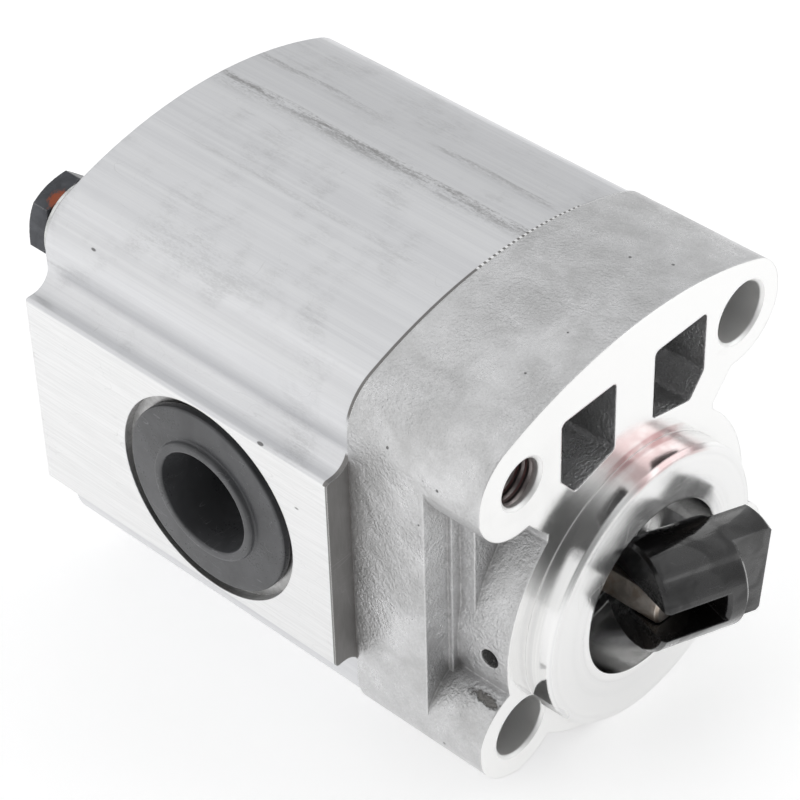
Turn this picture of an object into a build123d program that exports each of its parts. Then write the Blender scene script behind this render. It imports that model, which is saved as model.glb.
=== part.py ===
from build123d import *
import math
import os

# Hydraulic gear pump, millimetres.
# The drive shaft lies along Y and its tang points to -Y.
# The origin is on the drive shaft's axis, in the plane of the flange's mounting face.
# +Z points from the drive gear to the driven gear, and the two ports face -X and +X.

# ---------------------------------------------------------------- driving dimensions

# overall
gear_centre_distance = 23.0
hole_spacing = 54.0
lobe_radius = 9.75
crown_rise = 5.15
flange_thickness = 27.3
body_length = 70.2
body_inset = 0.5

# flange
pilot_radius = 26.0
pilot_height = 5.2
pilot_bore_depth = 13.0
pilot_chamfer = 0.7
boss_step = 4.3
land_radius = 10.0
land_web_inset = 1.8
land_web_lean = 4.4
land_web_step = 1.4
plate_front = 11.6
rib_front = 10.7
rib_margin = 1.1
web_front = 7.6
web_margin = 0.9
cast_round = 1.4
pocket_inner_x = 4.7
pocket_side_wall = 9.2
pocket_crown_wall = 9.0
pocket_floor_gap = 0.2
pocket_floor_fall = 2.4
pocket_corner_rise = 4.4
pocket_corner_run = 3.5
pocket_round = 1.1
pocket_depth = 19.0
mount_hole_gap = 0.6
pilot_relief = 0.4
edge_break = 0.5
weep_radius = 1.8
weep_station = 3.8
weep_height = 0.4
weep_lead = 1.0
seal_ring_groove = 1.5
seal_ring_offset = 2.4
seal_ring_width = 2.0

# ports
port_pad_stand = 5.55
port_pad_margin = 0.75
port_pad_round = 3.6
port_pad_edge = 0.8
port_offset = 0.3
port_spot_width = 6.4
port_spot_depth = 1.8
port_thread_radius = 13.2
port_thread_depth = 17.0
port_passage_radius = 7.5

# gears and shafts
tooth_count = 12
pressure_angle = 25.0
addendum_factor = 1.05
dedendum_factor = 1.25
tooth_thinning = 0.006
flank_points = 5
flank_spread = 1.5
tooth_foot_depth = 0.4
gear_width = 22.0
gear_side_gap = 0.05
tip_gap = 0.06
journal_radius = 7.0
journal_gap = 0.03
journal_end_gap = 1.0
shaft_nose_step = 2.0
shaft_nose_length = 3.4
tang_end = -10.0
tang_clearance = 1.42
tang_thickness = 5.2
tang_turn = 6.4
shaft_edge = 0.5

# bearings
rear_wall = 14.3
block_gap = 0.03
bush_wall = 1.5
bush_inset = 0.65
balance_groove_depth = 2.0
balance_backup_thickness = 0.6
balance_inner_margin = 1.3
balance_outer_margin = 1.2
balance_reach = 3.0
relief_width = 6.0
relief_height = 4.4
relief_depth = 1.2
relief_offset = 5.4

# shaft seal
seal_section = 6.0
seal_bore_step = 3.3
seal_width = 6.5
seal_case_wall = 1.0
seal_lip_gap = 0.05
seal_lip_depth = 3.4
seal_spring_radius = 0.7
seal_step = 1.2
retaining_thickness = 1.2
retaining_groove = 0.9
retaining_depth = 2.3
retaining_gap_angle = 42.0
retaining_band = 1.47
retaining_ear_radius = 2.1
retaining_ear_hole = 0.8

# fasteners
bolt_radius = 5.0
bolt_clearance = 0.5
bolt_head_flats = 14.0
bolt_head_height = 5.1
bolt_head_crown = 0.6
bolt_head_turn = 18
bolt_engagement = 19.0
thread_depth = 0.7
thread_gap = 0.05
washer_rim = 3.0
washer_thickness = 1.2
dowel_radius = 3.0
dowel_bore_radius = 1.5
dowel_reach = 6.0
dowel_offset = 3.5

# coupler
coupler_radius = 9.5
coupler_pivot = -6.26
coupler_swing = 72.5
coupler_inner = 4.6
coupler_slot_room = 1.456
coupler_shoulder = 11.75
coupler_outer = 19.2
coupler_slot_gap = 0.6
coupler_tang_thickness = 6.8
coupler_edge = 0.6

# port plugs
plug_rim_gap = 1.8
plug_lip_width = 1.7
plug_opening_step = 3.6
plug_lip_rise = 1.1
plug_rise = 0.2
plug_seat_gap = 0.3
plug_stem_gap = 0.05
plug_stem_length = 13.0
plug_stem_wall = 1.6
plug_floor = 2.0

# ---------------------------------------------------------------- worked out from them

mid_z = gear_centre_distance / 2
half_holes = hole_spacing / 2
crown_height = half_holes + lobe_radius + crown_rise
oversize = 4 * crown_height
gear_module = gear_centre_distance / tooth_count
pitch_radius = gear_centre_distance / 2
base_radius = pitch_radius * math.cos(math.radians(pressure_angle))
tip_radius = pitch_radius + addendum_factor * gear_module
root_radius = pitch_radius - dedendum_factor * gear_module
chamber_radius = tip_radius + tip_gap
block_length = (body_length - rear_wall - gear_width) / 2 - gear_side_gap
bush_length = block_length - 2 * bush_inset
chamber_depth = 2 * block_length + gear_width + 2 * gear_side_gap
body_rear = flange_thickness + body_length
gear_front = flange_thickness + block_length + gear_side_gap
gear_rear = gear_front + gear_width
chamber_rear = flange_thickness + chamber_depth
bush_radius = journal_radius + journal_gap + bush_wall
upper_holes_z = mid_z + half_holes
lower_holes_z = mid_z - half_holes
boss_radius = pilot_radius + boss_step
seal_outer_radius = journal_radius + seal_section
pilot_bore_radius = seal_outer_radius + seal_bore_step
seal_front = pilot_bore_depth - pilot_height + retaining_thickness + retaining_depth
seal_rear = seal_front + seal_width
shaft_hole_radius = journal_radius + seal_step
side_x = half_holes + lobe_radius - body_inset
port_face_x = side_x + port_pad_stand
port_y = flange_thickness + block_length + gear_width / 2 + port_offset
port_spot_radius = port_thread_radius + port_spot_width
port_pad_height = 2 * (port_spot_radius + port_pad_margin)
mount_hole_radius = bolt_radius + mount_hole_gap
thread_radius = bolt_radius - thread_depth
dowel_x = half_holes + dowel_offset
mount_holes = [(half_holes, upper_holes_z), (-half_holes, lower_holes_z)]
bolt_holes = [(-half_holes, upper_holes_z), (half_holes, lower_holes_z)]
gear_centres = [(0, 0), (0, gear_centre_distance)]


def station(y):
    """Plane across the shaft at Y = y: its x is +X, its y is +Z and it faces -Y."""
    return Plane.XZ.offset(-y)


def shell_outline(inset):
    """Adds the pump's cross-section to the open sketch, drawn in by inset all round.

    Four round corner lobes sit on the hole centres. A long crown arc joins the lobes at
    the top and at the bottom, and straight sides join them left and right.
    """
    radius = lobe_radius - inset
    rise = crown_height - inset
    gap = rise - radius
    low = (half_holes**2 + half_holes**2 - gap**2) / (2 * (half_holes - gap))
    reach = math.hypot(half_holes, half_holes - low)
    touch_x = half_holes + radius * half_holes / reach
    touch_z = half_holes + radius * (half_holes - low) / reach
    lean = math.atan2(half_holes - low, half_holes)
    side = half_holes + radius
    corner_x = half_holes + radius * math.cos(lean / 2)
    corner_z = half_holes + radius * math.sin(lean / 2)
    with BuildLine() as outline:
        ThreePointArc((-touch_x, mid_z + touch_z), (0, mid_z + rise), (touch_x, mid_z + touch_z))
        ThreePointArc(
            (touch_x, mid_z + touch_z), (corner_x, mid_z + corner_z), (side, upper_holes_z)
        )
        Line((side, upper_holes_z), (side, lower_holes_z))
        ThreePointArc(
            (side, lower_holes_z), (corner_x, mid_z - corner_z), (touch_x, mid_z - touch_z)
        )
        ThreePointArc((touch_x, mid_z - touch_z), (0, mid_z - rise), (-touch_x, mid_z - touch_z))
        ThreePointArc(
            (-touch_x, mid_z - touch_z), (-corner_x, mid_z - corner_z), (-side, lower_holes_z)
        )
        Line((-side, lower_holes_z), (-side, upper_holes_z))
        ThreePointArc(
            (-side, upper_holes_z), (-corner_x, mid_z + corner_z), (-touch_x, mid_z + touch_z)
        )
    make_face(outline.edges())


def twin_circles(radius, mode=Mode.ADD):
    """Adds a circle of that radius on each gear's axis to the open sketch."""
    with Locations(*gear_centres):
        Circle(radius, mode=mode)


# ---------------------------------------------------------------- pump body

body_drill = bolt_radius + bolt_clearance

with BuildPart() as pump_body:
    with BuildSketch(station(flange_thickness)) as body_section:
        shell_outline(body_inset)
        with Locations((0, mid_z)):
            Rectangle(2 * port_face_x, port_pad_height)
        pad_roots = [v for v in body_section.vertices() if abs(abs(v.X) - side_x) < 0.01]
        pad_roots = [v for v in pad_roots if abs(abs(v.Y - mid_z) - port_pad_height / 2) < 0.01]
        fillet(pad_roots, port_pad_round)
        pad_corners = [v for v in body_section.vertices() if abs(abs(v.X) - port_face_x) < 0.01]
        fillet(pad_corners, port_pad_edge)
    extrude(amount=-body_length)
    with BuildSketch(station(flange_thickness)):
        twin_circles(chamber_radius)
    extrude(amount=-chamber_depth, mode=Mode.SUBTRACT)
    with BuildSketch(station(flange_thickness)):
        with Locations(*mount_holes):
            Circle(mount_hole_radius)
        with Locations(*bolt_holes):
            Circle(body_drill)
    extrude(amount=-body_length, mode=Mode.SUBTRACT)
    with BuildSketch(station(flange_thickness)):
        with Locations((-dowel_x, mid_z), (dowel_x, mid_z)):
            Circle(dowel_radius)
    extrude(amount=-dowel_reach, mode=Mode.SUBTRACT)
    for side in (-1, 1):
        face_plane = Plane(
            origin=(side * port_face_x, port_y, mid_z), x_dir=(0, side, 0), z_dir=(side, 0, 0)
        )
        with BuildSketch(face_plane):
            Circle(port_spot_radius)
        extrude(amount=-port_spot_depth, mode=Mode.SUBTRACT)
        with BuildSketch(face_plane):
            Circle(port_thread_radius)
        extrude(amount=-port_thread_depth, mode=Mode.SUBTRACT)
        with BuildSketch(face_plane):
            Circle(port_passage_radius)
        extrude(amount=-(port_face_x - chamber_radius / 2), mode=Mode.SUBTRACT)
    rear_edges = pump_body.faces().sort_by(Axis.Y)[-1].outer_wire().edges()
    chamfer(rear_edges, edge_break)

# ---------------------------------------------------------------- front flange

ring_offset = chamber_radius + seal_ring_offset
web_top_x = half_holes - land_web_inset
web_top_z = upper_holes_z - land_radius
web_foot_x = web_top_x - land_web_lean
web_root_z = math.sqrt(boss_radius**2 - web_foot_x**2)
web_foot_z = web_root_z + land_web_step
rib_half_width = boss_radius + rib_margin
web_half_width = boss_radius - web_margin
pocket_outer_x = half_holes - pocket_side_wall
pocket_top = mid_z + crown_height - pocket_crown_wall
pocket_floor_inner = boss_radius + pocket_floor_gap
pocket_floor_outer = pocket_floor_inner - pocket_floor_fall

with BuildPart() as front_flange:
    with BuildSketch(station(0)):
        shell_outline(0)
    extrude(amount=-flange_thickness)
    with BuildSketch(station(0)) as recess_section:
        with Locations((0, upper_holes_z)):
            Rectangle(oversize, oversize, align=(Align.CENTER, Align.MAX))
            Rectangle(
                hole_spacing, land_radius, align=(Align.CENTER, Align.MAX), mode=Mode.SUBTRACT
            )
        with Locations((-half_holes, upper_holes_z), (half_holes, upper_holes_z)):
            Circle(land_radius, mode=Mode.SUBTRACT)
        with BuildLine():
            Polyline(
                (-web_top_x, web_top_z + cast_round),
                (-web_top_x, web_top_z),
                (-web_foot_x, web_foot_z),
                (-web_foot_x, web_root_z - cast_round),
                (web_foot_x, web_root_z - cast_round),
                (web_foot_x, web_foot_z),
                (web_top_x, web_top_z),
                (web_top_x, web_top_z + cast_round),
                close=True,
            )
        make_face(mode=Mode.SUBTRACT)
        Circle(boss_radius, mode=Mode.SUBTRACT)
        with Locations((-half_holes, lower_holes_z), (half_holes, lower_holes_z)):
            Circle(land_radius, mode=Mode.SUBTRACT)
        with Locations((half_holes, lower_holes_z)):
            Rectangle(oversize, oversize, align=(Align.MIN, Align.MAX), mode=Mode.SUBTRACT)
        with Locations((-half_holes, lower_holes_z)):
            Rectangle(oversize, oversize, align=(Align.MAX, Align.MAX), mode=Mode.SUBTRACT)
    extrude(amount=-web_front, mode=Mode.SUBTRACT)
    for half_width, depth in ((web_half_width, rib_front), (rib_half_width, plate_front)):
        with BuildSketch(station(0)):
            add(recess_section.sketch_local)
            Rectangle(2 * half_width, oversize, mode=Mode.SUBTRACT)
        extrude(amount=-depth, mode=Mode.SUBTRACT)
    with BuildSketch(station(0)):
        Circle(pilot_radius)
    extrude(amount=pilot_height)
    pilot_rims = front_flange.faces().sort_by(Axis.Y)[0].edges()
    chamfer(pilot_rims, pilot_chamfer)
    with BuildSketch(station(-pilot_height)):
        Circle(pilot_bore_radius)
    extrude(amount=-(pilot_bore_depth), mode=Mode.SUBTRACT)
    with BuildSketch(station(-pilot_height)):
        Circle(seal_outer_radius)
    extrude(amount=-(seal_rear + pilot_height), mode=Mode.SUBTRACT)
    with BuildSketch(station(seal_front - retaining_thickness)):
        Circle(seal_outer_radius + retaining_groove)
    extrude(amount=-retaining_thickness, mode=Mode.SUBTRACT)
    with BuildSketch(station(0)):
        Circle(shaft_hole_radius)
    extrude(amount=-flange_thickness, mode=Mode.SUBTRACT)
    with BuildSketch(station(0)) as pocket_section:
        for side in (-1, 1):
            with BuildLine():
                Polyline(
                    (side * pocket_inner_x, pocket_floor_inner),
                    (side * pocket_inner_x, pocket_top),
                    (side * pocket_outer_x, pocket_top),
                    (side * pocket_outer_x, pocket_floor_outer + pocket_corner_rise),
                    (side * (pocket_outer_x - pocket_corner_run), pocket_floor_outer),
                    close=True,
                )
            make_face()
        fillet(pocket_section.vertices(), pocket_round)
    extrude(amount=-pocket_depth, mode=Mode.SUBTRACT)
    with BuildSketch(station(-pilot_height)):
        with Locations(*mount_holes):
            Circle(bolt_radius + pilot_relief)
    extrude(amount=-pilot_height, mode=Mode.SUBTRACT)
    with BuildSketch(station(0)):
        with Locations(*mount_holes):
            Circle(mount_hole_radius)
        with Locations(*bolt_holes):
            Circle(thread_radius)
    extrude(amount=-flange_thickness, mode=Mode.SUBTRACT)
    with BuildSketch(station(flange_thickness)):
        with Locations((-dowel_x, mid_z), (dowel_x, mid_z)):
            Circle(dowel_radius)
    extrude(amount=dowel_reach, mode=Mode.SUBTRACT)
    with BuildSketch(station(flange_thickness)):
        twin_circles(ring_offset + seal_ring_width)
        twin_circles(ring_offset, mode=Mode.SUBTRACT)
    extrude(amount=seal_ring_groove, mode=Mode.SUBTRACT)
    weep_plane = Plane(
        origin=(-boss_radius - weep_lead, weep_station, weep_height),
        x_dir=(0, -1, 0),
        z_dir=(-1, 0, 0),
    )
    with BuildSketch(weep_plane):
        Circle(weep_radius)
    extrude(amount=-(boss_radius + weep_lead - seal_outer_radius), mode=Mode.SUBTRACT)
    for radius, places in ((mount_hole_radius, mount_holes), (thread_radius, bolt_holes)):
        with BuildSketch(station(0)):
            with Locations(*places):
                Circle(radius + edge_break)
        extrude(amount=-edge_break, taper=45, mode=Mode.SUBTRACT)

# ---------------------------------------------------------------- gears on their shafts


def tooth_flank_angle(radius):
    """Half the angle that a tooth covers at a radius, in radians, from its involute flank."""
    def involute(angle):
        return math.tan(angle) - angle

    at_pitch = math.pi / (2 * tooth_count) - tooth_thinning
    rolled = involute(math.radians(pressure_angle))
    here = involute(math.acos(min(1.0, base_radius / radius)))
    return at_pitch + rolled - here


def gear_section(centre_z, first_tooth):
    """Adds the outline of a spur gear to the open sketch, with a tooth at angle first_tooth.

    Each flank is a spline through points of the involute, from just above the base
    circle to the tip. A straight line takes it down to the root circle.
    """
    radii = [
        base_radius + (tip_radius - base_radius) * (step / (flank_points - 1)) ** flank_spread
        for step in range(flank_points)
    ]

    def point(radius, angle):
        return (radius * math.cos(angle), centre_z + radius * math.sin(angle))

    with Locations((0, centre_z)):
        Circle(root_radius)
    foot = root_radius - tooth_foot_depth
    for tooth in range(tooth_count):
        middle = math.radians(first_tooth + tooth * 360 / tooth_count)
        left = [point(r, middle + tooth_flank_angle(r)) for r in radii]
        right = [point(r, middle - tooth_flank_angle(r)) for r in radii]
        foot_half = tooth_flank_angle(base_radius)
        with BuildLine() as outline:
            Line(point(foot, middle + foot_half), left[0])
            Spline(*left)
            ThreePointArc(left[-1], point(tip_radius, middle), right[-1])
            Spline(*right[::-1])
            Line(right[0], point(foot, middle - foot_half))
            Line(point(foot, middle - foot_half), point(foot, middle + foot_half))
        make_face(outline.edges())


swing = math.radians(coupler_swing)
coupler_back = coupler_inner * math.cos(swing) + coupler_radius * math.sin(swing)
shaft_nose_radius = journal_radius - shaft_nose_step
tang_start = coupler_pivot + coupler_back + tang_clearance
shaft_shoulder_station = tang_start + shaft_nose_length
journal_front = flange_thickness + journal_end_gap
journal_rear = chamber_rear - journal_end_gap
tang_axis = Plane(
    origin=(0, 0, 0),
    x_dir=(math.cos(math.radians(tang_turn)), 0, -math.sin(math.radians(tang_turn))),
    z_dir=(0, -1, 0),
)

with BuildPart() as drive_gear_shaft:
    with BuildSketch(station(gear_front)):
        gear_section(0, 90)
    extrude(amount=-gear_width)
    with BuildSketch(station(shaft_shoulder_station)):
        Circle(journal_radius)
    extrude(amount=-(journal_rear - shaft_shoulder_station))
    chamfer(drive_gear_shaft.faces().sort_by(Axis.Y)[-1].edges(), shaft_edge)
    chamfer(drive_gear_shaft.faces().sort_by(Axis.Y)[0].edges(), shaft_edge)
    with BuildSketch(station(shaft_shoulder_station)):
        Circle(shaft_nose_radius)
    extrude(amount=shaft_shoulder_station - tang_end)
    chamfer(drive_gear_shaft.faces().sort_by(Axis.Y)[0].edges(), shaft_edge)
    with BuildSketch(tang_axis.offset(-tang_start)):
        cut = shaft_nose_radius
        with Locations((0, tang_thickness / 2 + cut / 2), (0, -tang_thickness / 2 - cut / 2)):
            Rectangle(oversize, cut)
    extrude(amount=tang_start - tang_end, mode=Mode.SUBTRACT)

with BuildPart() as driven_gear_shaft:
    with BuildSketch(station(gear_front)):
        gear_section(gear_centre_distance, -90 + 180 / tooth_count)
    extrude(amount=-gear_width)
    with BuildSketch(station(journal_front)):
        with Locations((0, gear_centre_distance)):
            Circle(journal_radius)
    extrude(amount=-(journal_rear - journal_front))
    chamfer(driven_gear_shaft.faces().sort_by(Axis.Y)[-1].edges(), shaft_edge)
    chamfer(driven_gear_shaft.faces().sort_by(Axis.Y)[0].edges(), shaft_edge)

# ---------------------------------------------------------------- bearing blocks and bushes

balance_inner = bush_radius + balance_inner_margin
balance_outer = chamber_radius - block_gap - balance_outer_margin


def balance_outline():
    """Adds the 3-shaped seal outline to the open sketch: two part rings round the bearings."""
    twin_circles(balance_outer)
    twin_circles(balance_inner, mode=Mode.SUBTRACT)
    with Locations((-balance_reach, mid_z)):
        Rectangle(oversize, oversize, align=(Align.MAX, Align.CENTER), mode=Mode.SUBTRACT)


def bearing_block(front, seal_side, gear_side):
    """One bearing block, from station front back, with its seal groove and relief pockets."""
    inward = -1 if seal_side < gear_side else 1
    with BuildPart() as block:
        with BuildSketch(station(front)):
            twin_circles(chamber_radius - block_gap)
        extrude(amount=-block_length)
        with BuildSketch(station(front)):
            twin_circles(bush_radius)
        extrude(amount=-block_length, mode=Mode.SUBTRACT)
        with BuildSketch(station(seal_side)):
            balance_outline()
        extrude(amount=inward * balance_groove_depth, mode=Mode.SUBTRACT)
        with BuildSketch(station(gear_side)):
            with Locations((-relief_offset, mid_z), (relief_offset, mid_z)):
                Rectangle(relief_width, relief_height)
        extrude(amount=-inward * relief_depth, mode=Mode.SUBTRACT)
    return block


front_block_rear = flange_thickness + block_length
rear_block_front = gear_rear + gear_side_gap
front_bearing_block = bearing_block(flange_thickness, flange_thickness, front_block_rear)
rear_bearing_block = bearing_block(rear_block_front, chamber_rear, rear_block_front)


def bearing_bush(front, centre_z):
    """One plain bush, a split-free sleeve with both rims broken."""
    with BuildPart() as bush:
        with BuildSketch(station(front)):
            with Locations((0, centre_z)):
                Circle(bush_radius)
                Circle(journal_radius + journal_gap, mode=Mode.SUBTRACT)
        extrude(amount=-bush_length)
    return bush


def balance_layer(front, thickness):
    """One layer of the balance seal, from station front back."""
    with BuildPart() as layer:
        with BuildSketch(station(front)):
            balance_outline()
        extrude(amount=-thickness)
    return layer


rubber_thickness = balance_groove_depth - balance_backup_thickness
bushes = {}
for place, start in (("front", flange_thickness), ("rear", rear_block_front)):
    for shaft, height in (("drive", 0), ("driven", gear_centre_distance)):
        bushes[f"{place}_{shaft}_bush"] = bearing_bush(start + bush_inset, height)

balance_layers = {
    "front_balance_seal": balance_layer(flange_thickness, rubber_thickness),
    "front_balance_backup": balance_layer(
        flange_thickness + rubber_thickness, balance_backup_thickness
    ),
    "rear_balance_backup": balance_layer(
        chamber_rear - balance_groove_depth, balance_backup_thickness
    ),
    "rear_balance_seal": balance_layer(chamber_rear - rubber_thickness, rubber_thickness),
}

with BuildPart() as body_seal_ring:
    with BuildSketch(station(flange_thickness)):
        twin_circles(ring_offset + seal_ring_width)
        twin_circles(ring_offset, mode=Mode.SUBTRACT)
    extrude(amount=seal_ring_groove)

# ---------------------------------------------------------------- shaft seal

lip_radius = journal_radius + seal_lip_gap
case_inner = seal_outer_radius - seal_case_wall
spring_centre_radius = lip_radius + seal_lip_depth
spring_station = seal_rear - seal_width / 4

with BuildPart() as seal_case:
    with BuildSketch(station(seal_front)):
        Circle(seal_outer_radius)
        Circle(case_inner, mode=Mode.SUBTRACT)
    extrude(amount=-seal_width)
    with BuildSketch(station(seal_front)):
        Circle(case_inner)
        Circle(lip_radius + seal_lip_depth, mode=Mode.SUBTRACT)
    extrude(amount=-seal_case_wall)

with BuildPart() as seal_lip:
    with BuildSketch(station(seal_front + seal_case_wall)):
        Circle(case_inner)
        Circle(lip_radius, mode=Mode.SUBTRACT)
    extrude(amount=-seal_case_wall)
    with BuildSketch(station(seal_front + 2 * seal_case_wall)):
        Circle(lip_radius + seal_lip_depth)
        Circle(lip_radius, mode=Mode.SUBTRACT)
    extrude(amount=-(seal_width - 2 * seal_case_wall))
    with BuildSketch(Plane.XY):
        with Locations((spring_centre_radius, spring_station)):
            Circle(seal_spring_radius)
    revolve(axis=Axis.Y, mode=Mode.SUBTRACT)

with BuildPart() as seal_spring:
    with BuildSketch(Plane.XY):
        with Locations((spring_centre_radius, spring_station)):
            Circle(seal_spring_radius)
    revolve(axis=Axis.Y)

# ---------------------------------------------------------------- retaining ring

retaining_outer = seal_outer_radius + retaining_groove
retaining_inner = seal_outer_radius - retaining_band
ear_centre_radius = seal_outer_radius - retaining_ear_radius
gap_half = retaining_gap_angle / 2
ear_angles = (90 - gap_half, 90 + gap_half)
ears = [
    (
        ear_centre_radius * math.cos(math.radians(angle)),
        ear_centre_radius * math.sin(math.radians(angle)),
    )
    for angle in ear_angles
]

with BuildPart() as seal_retaining_ring:
    with BuildSketch(station(seal_front - retaining_thickness)):
        Circle(retaining_outer)
        Circle(retaining_inner, mode=Mode.SUBTRACT)
        with BuildLine():
            far = 2 * retaining_outer
            spread = far * math.tan(math.radians(gap_half))
            Polyline((0, 0), (spread, far), (-spread, far), close=True)
        make_face(mode=Mode.SUBTRACT)
        with Locations(*ears):
            Circle(retaining_ear_radius)
            Circle(retaining_ear_hole, mode=Mode.SUBTRACT)
    extrude(amount=-retaining_thickness)

# ---------------------------------------------------------------- fasteners

bolt_tip = flange_thickness - bolt_engagement
washer_radius = bolt_radius + washer_rim
washer_rear = body_rear + washer_thickness


def tie_bolt(x, z):
    """One hexagon-head tie bolt: shank through the body, thread in the flange."""
    with BuildPart() as bolt:
        with BuildSketch(station(washer_rear)):
            with Locations((x, z)):
                RegularPolygon(
                    bolt_head_flats / 2, 6, major_radius=False, rotation=bolt_head_turn
                )
        extrude(amount=-bolt_head_height)
        chamfer(bolt.faces().sort_by(Axis.Y)[-1].edges(), bolt_head_crown)
        with BuildSketch(station(flange_thickness)):
            with Locations((x, z)):
                Circle(bolt_radius)
        extrude(amount=-(washer_rear - flange_thickness))
        with BuildSketch(station(bolt_tip)):
            with Locations((x, z)):
                Circle(thread_radius - thread_gap)
        extrude(amount=-bolt_engagement)
        chamfer(bolt.faces().sort_by(Axis.Y)[0].edges(), edge_break)
    return bolt


def bolt_washer(x, z):
    """One plain washer under a tie bolt's head."""
    with BuildPart() as washer:
        with BuildSketch(station(body_rear)):
            with Locations((x, z)):
                Circle(washer_radius)
                Circle(bolt_radius + bolt_clearance, mode=Mode.SUBTRACT)
        extrude(amount=-washer_thickness)
    return washer


def dowel_pin(x):
    """One hollow dowel across the joint between flange and body."""
    with BuildPart() as dowel:
        with BuildSketch(station(flange_thickness - dowel_reach)):
            with Locations((x, mid_z)):
                Circle(dowel_radius)
                Circle(dowel_bore_radius, mode=Mode.SUBTRACT)
        extrude(amount=-2 * dowel_reach)
    return dowel


fasteners = {
    "upper_tie_bolt": tie_bolt(*bolt_holes[0]),
    "lower_tie_bolt": tie_bolt(*bolt_holes[1]),
    "upper_bolt_washer": bolt_washer(*bolt_holes[0]),
    "lower_bolt_washer": bolt_washer(*bolt_holes[1]),
    "left_dowel": dowel_pin(-dowel_x),
    "right_dowel": dowel_pin(dowel_x),
}

# ---------------------------------------------------------------- drive coupler

turn = math.radians(tang_turn)
across_x = math.cos(turn)
across_z = -math.sin(turn)
coupler_run = (math.sin(swing) * across_x, -math.cos(swing), math.sin(swing) * across_z)
coupler_normal = (-across_z, 0, across_x)
coupler_slot_end = math.hypot(shaft_nose_radius, coupler_pivot - tang_end) + coupler_slot_room
coupler_slot_width = tang_thickness + coupler_slot_gap
coupler_plane = Plane(origin=(0, coupler_pivot, 0), x_dir=coupler_normal, z_dir=coupler_run)

with BuildPart() as drive_coupler:
    with BuildSketch(coupler_plane.offset(-coupler_inner)):
        Circle(coupler_radius)
    extrude(amount=coupler_inner + coupler_outer)
    with BuildSketch(coupler_plane.offset(-coupler_inner)):
        Rectangle(coupler_slot_width, oversize)
    extrude(amount=coupler_inner + coupler_slot_end, mode=Mode.SUBTRACT)
    with BuildSketch(coupler_plane.offset(coupler_shoulder)):
        Circle(oversize)
        Rectangle(2 * oversize, coupler_tang_thickness, mode=Mode.SUBTRACT)
    extrude(amount=coupler_outer - coupler_shoulder, mode=Mode.SUBTRACT)
    end_rims = drive_coupler.edges().filter_by(GeomType.CIRCLE)
    chamfer(end_rims, coupler_edge)

# ---------------------------------------------------------------- port plugs

plug_seat = port_spot_depth - plug_seat_gap
stem_radius = port_thread_radius - plug_stem_gap
plug_disc_radius = port_spot_radius - plug_rim_gap
plug_opening_radius = port_thread_radius - plug_opening_step
plug_lip_radius = plug_opening_radius + plug_lip_width


def port_plug(side):
    """One push-in port plug: a flat disc in the spotface and a closed hollow stem."""
    face_plane = Plane(
        origin=(side * port_face_x, port_y, mid_z), x_dir=(0, side, 0), z_dir=(side, 0, 0)
    )
    with BuildPart() as plug:
        with BuildSketch(face_plane.offset(-plug_seat)):
            Circle(plug_disc_radius)
        extrude(amount=plug_seat + plug_rise)
        with BuildSketch(face_plane.offset(plug_rise)):
            Circle(plug_lip_radius)
        extrude(amount=plug_lip_rise)
        with BuildSketch(face_plane.offset(-plug_seat)):
            Circle(stem_radius)
        extrude(amount=-plug_stem_length)
        with BuildSketch(face_plane.offset(plug_rise + plug_lip_rise)):
            Circle(plug_opening_radius)
        hollow = plug_rise + plug_lip_rise + plug_seat + plug_stem_length - plug_floor
        extrude(amount=-hollow, mode=Mode.SUBTRACT)
    return plug


plugs = {"left_port_plug": port_plug(-1), "right_port_plug": port_plug(1)}

# ---------------------------------------------------------------- files

pieces = {
    "pump_body": pump_body,
    "front_flange": front_flange,
    "drive_gear_shaft": drive_gear_shaft,
    "driven_gear_shaft": driven_gear_shaft,
    "front_bearing_block": front_bearing_block,
    "rear_bearing_block": rear_bearing_block,
    "body_seal_ring": body_seal_ring,
    "seal_case": seal_case,
    "seal_lip": seal_lip,
    "seal_spring": seal_spring,
    "seal_retaining_ring": seal_retaining_ring,
    "drive_coupler": drive_coupler,
    **bushes,
    **balance_layers,
    **fasteners,
    **plugs,
}

os.makedirs("parts", exist_ok=True)
for name, piece in pieces.items():
    piece.part.label = name
    export_step(piece.part, f"parts/{name}.step")
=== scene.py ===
"""Looks of a hydraulic gear pump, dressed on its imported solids.

The drive shaft lies along Y with its tang towards -Y, the ports face -X and +X, and +Z
points from the drive gear to the driven gear. Shapes are in metres. Finishes measure their
patterns in millimetres on the piece's own Object coordinates, so a pattern stays with its
piece when the piece moves.
"""

import logging
import math
from dataclasses import dataclass
from enum import Enum
from typing import Callable, Optional, Sequence, Union

import bpy
import numpy as np
from mathutils import Matrix, Vector


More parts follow.
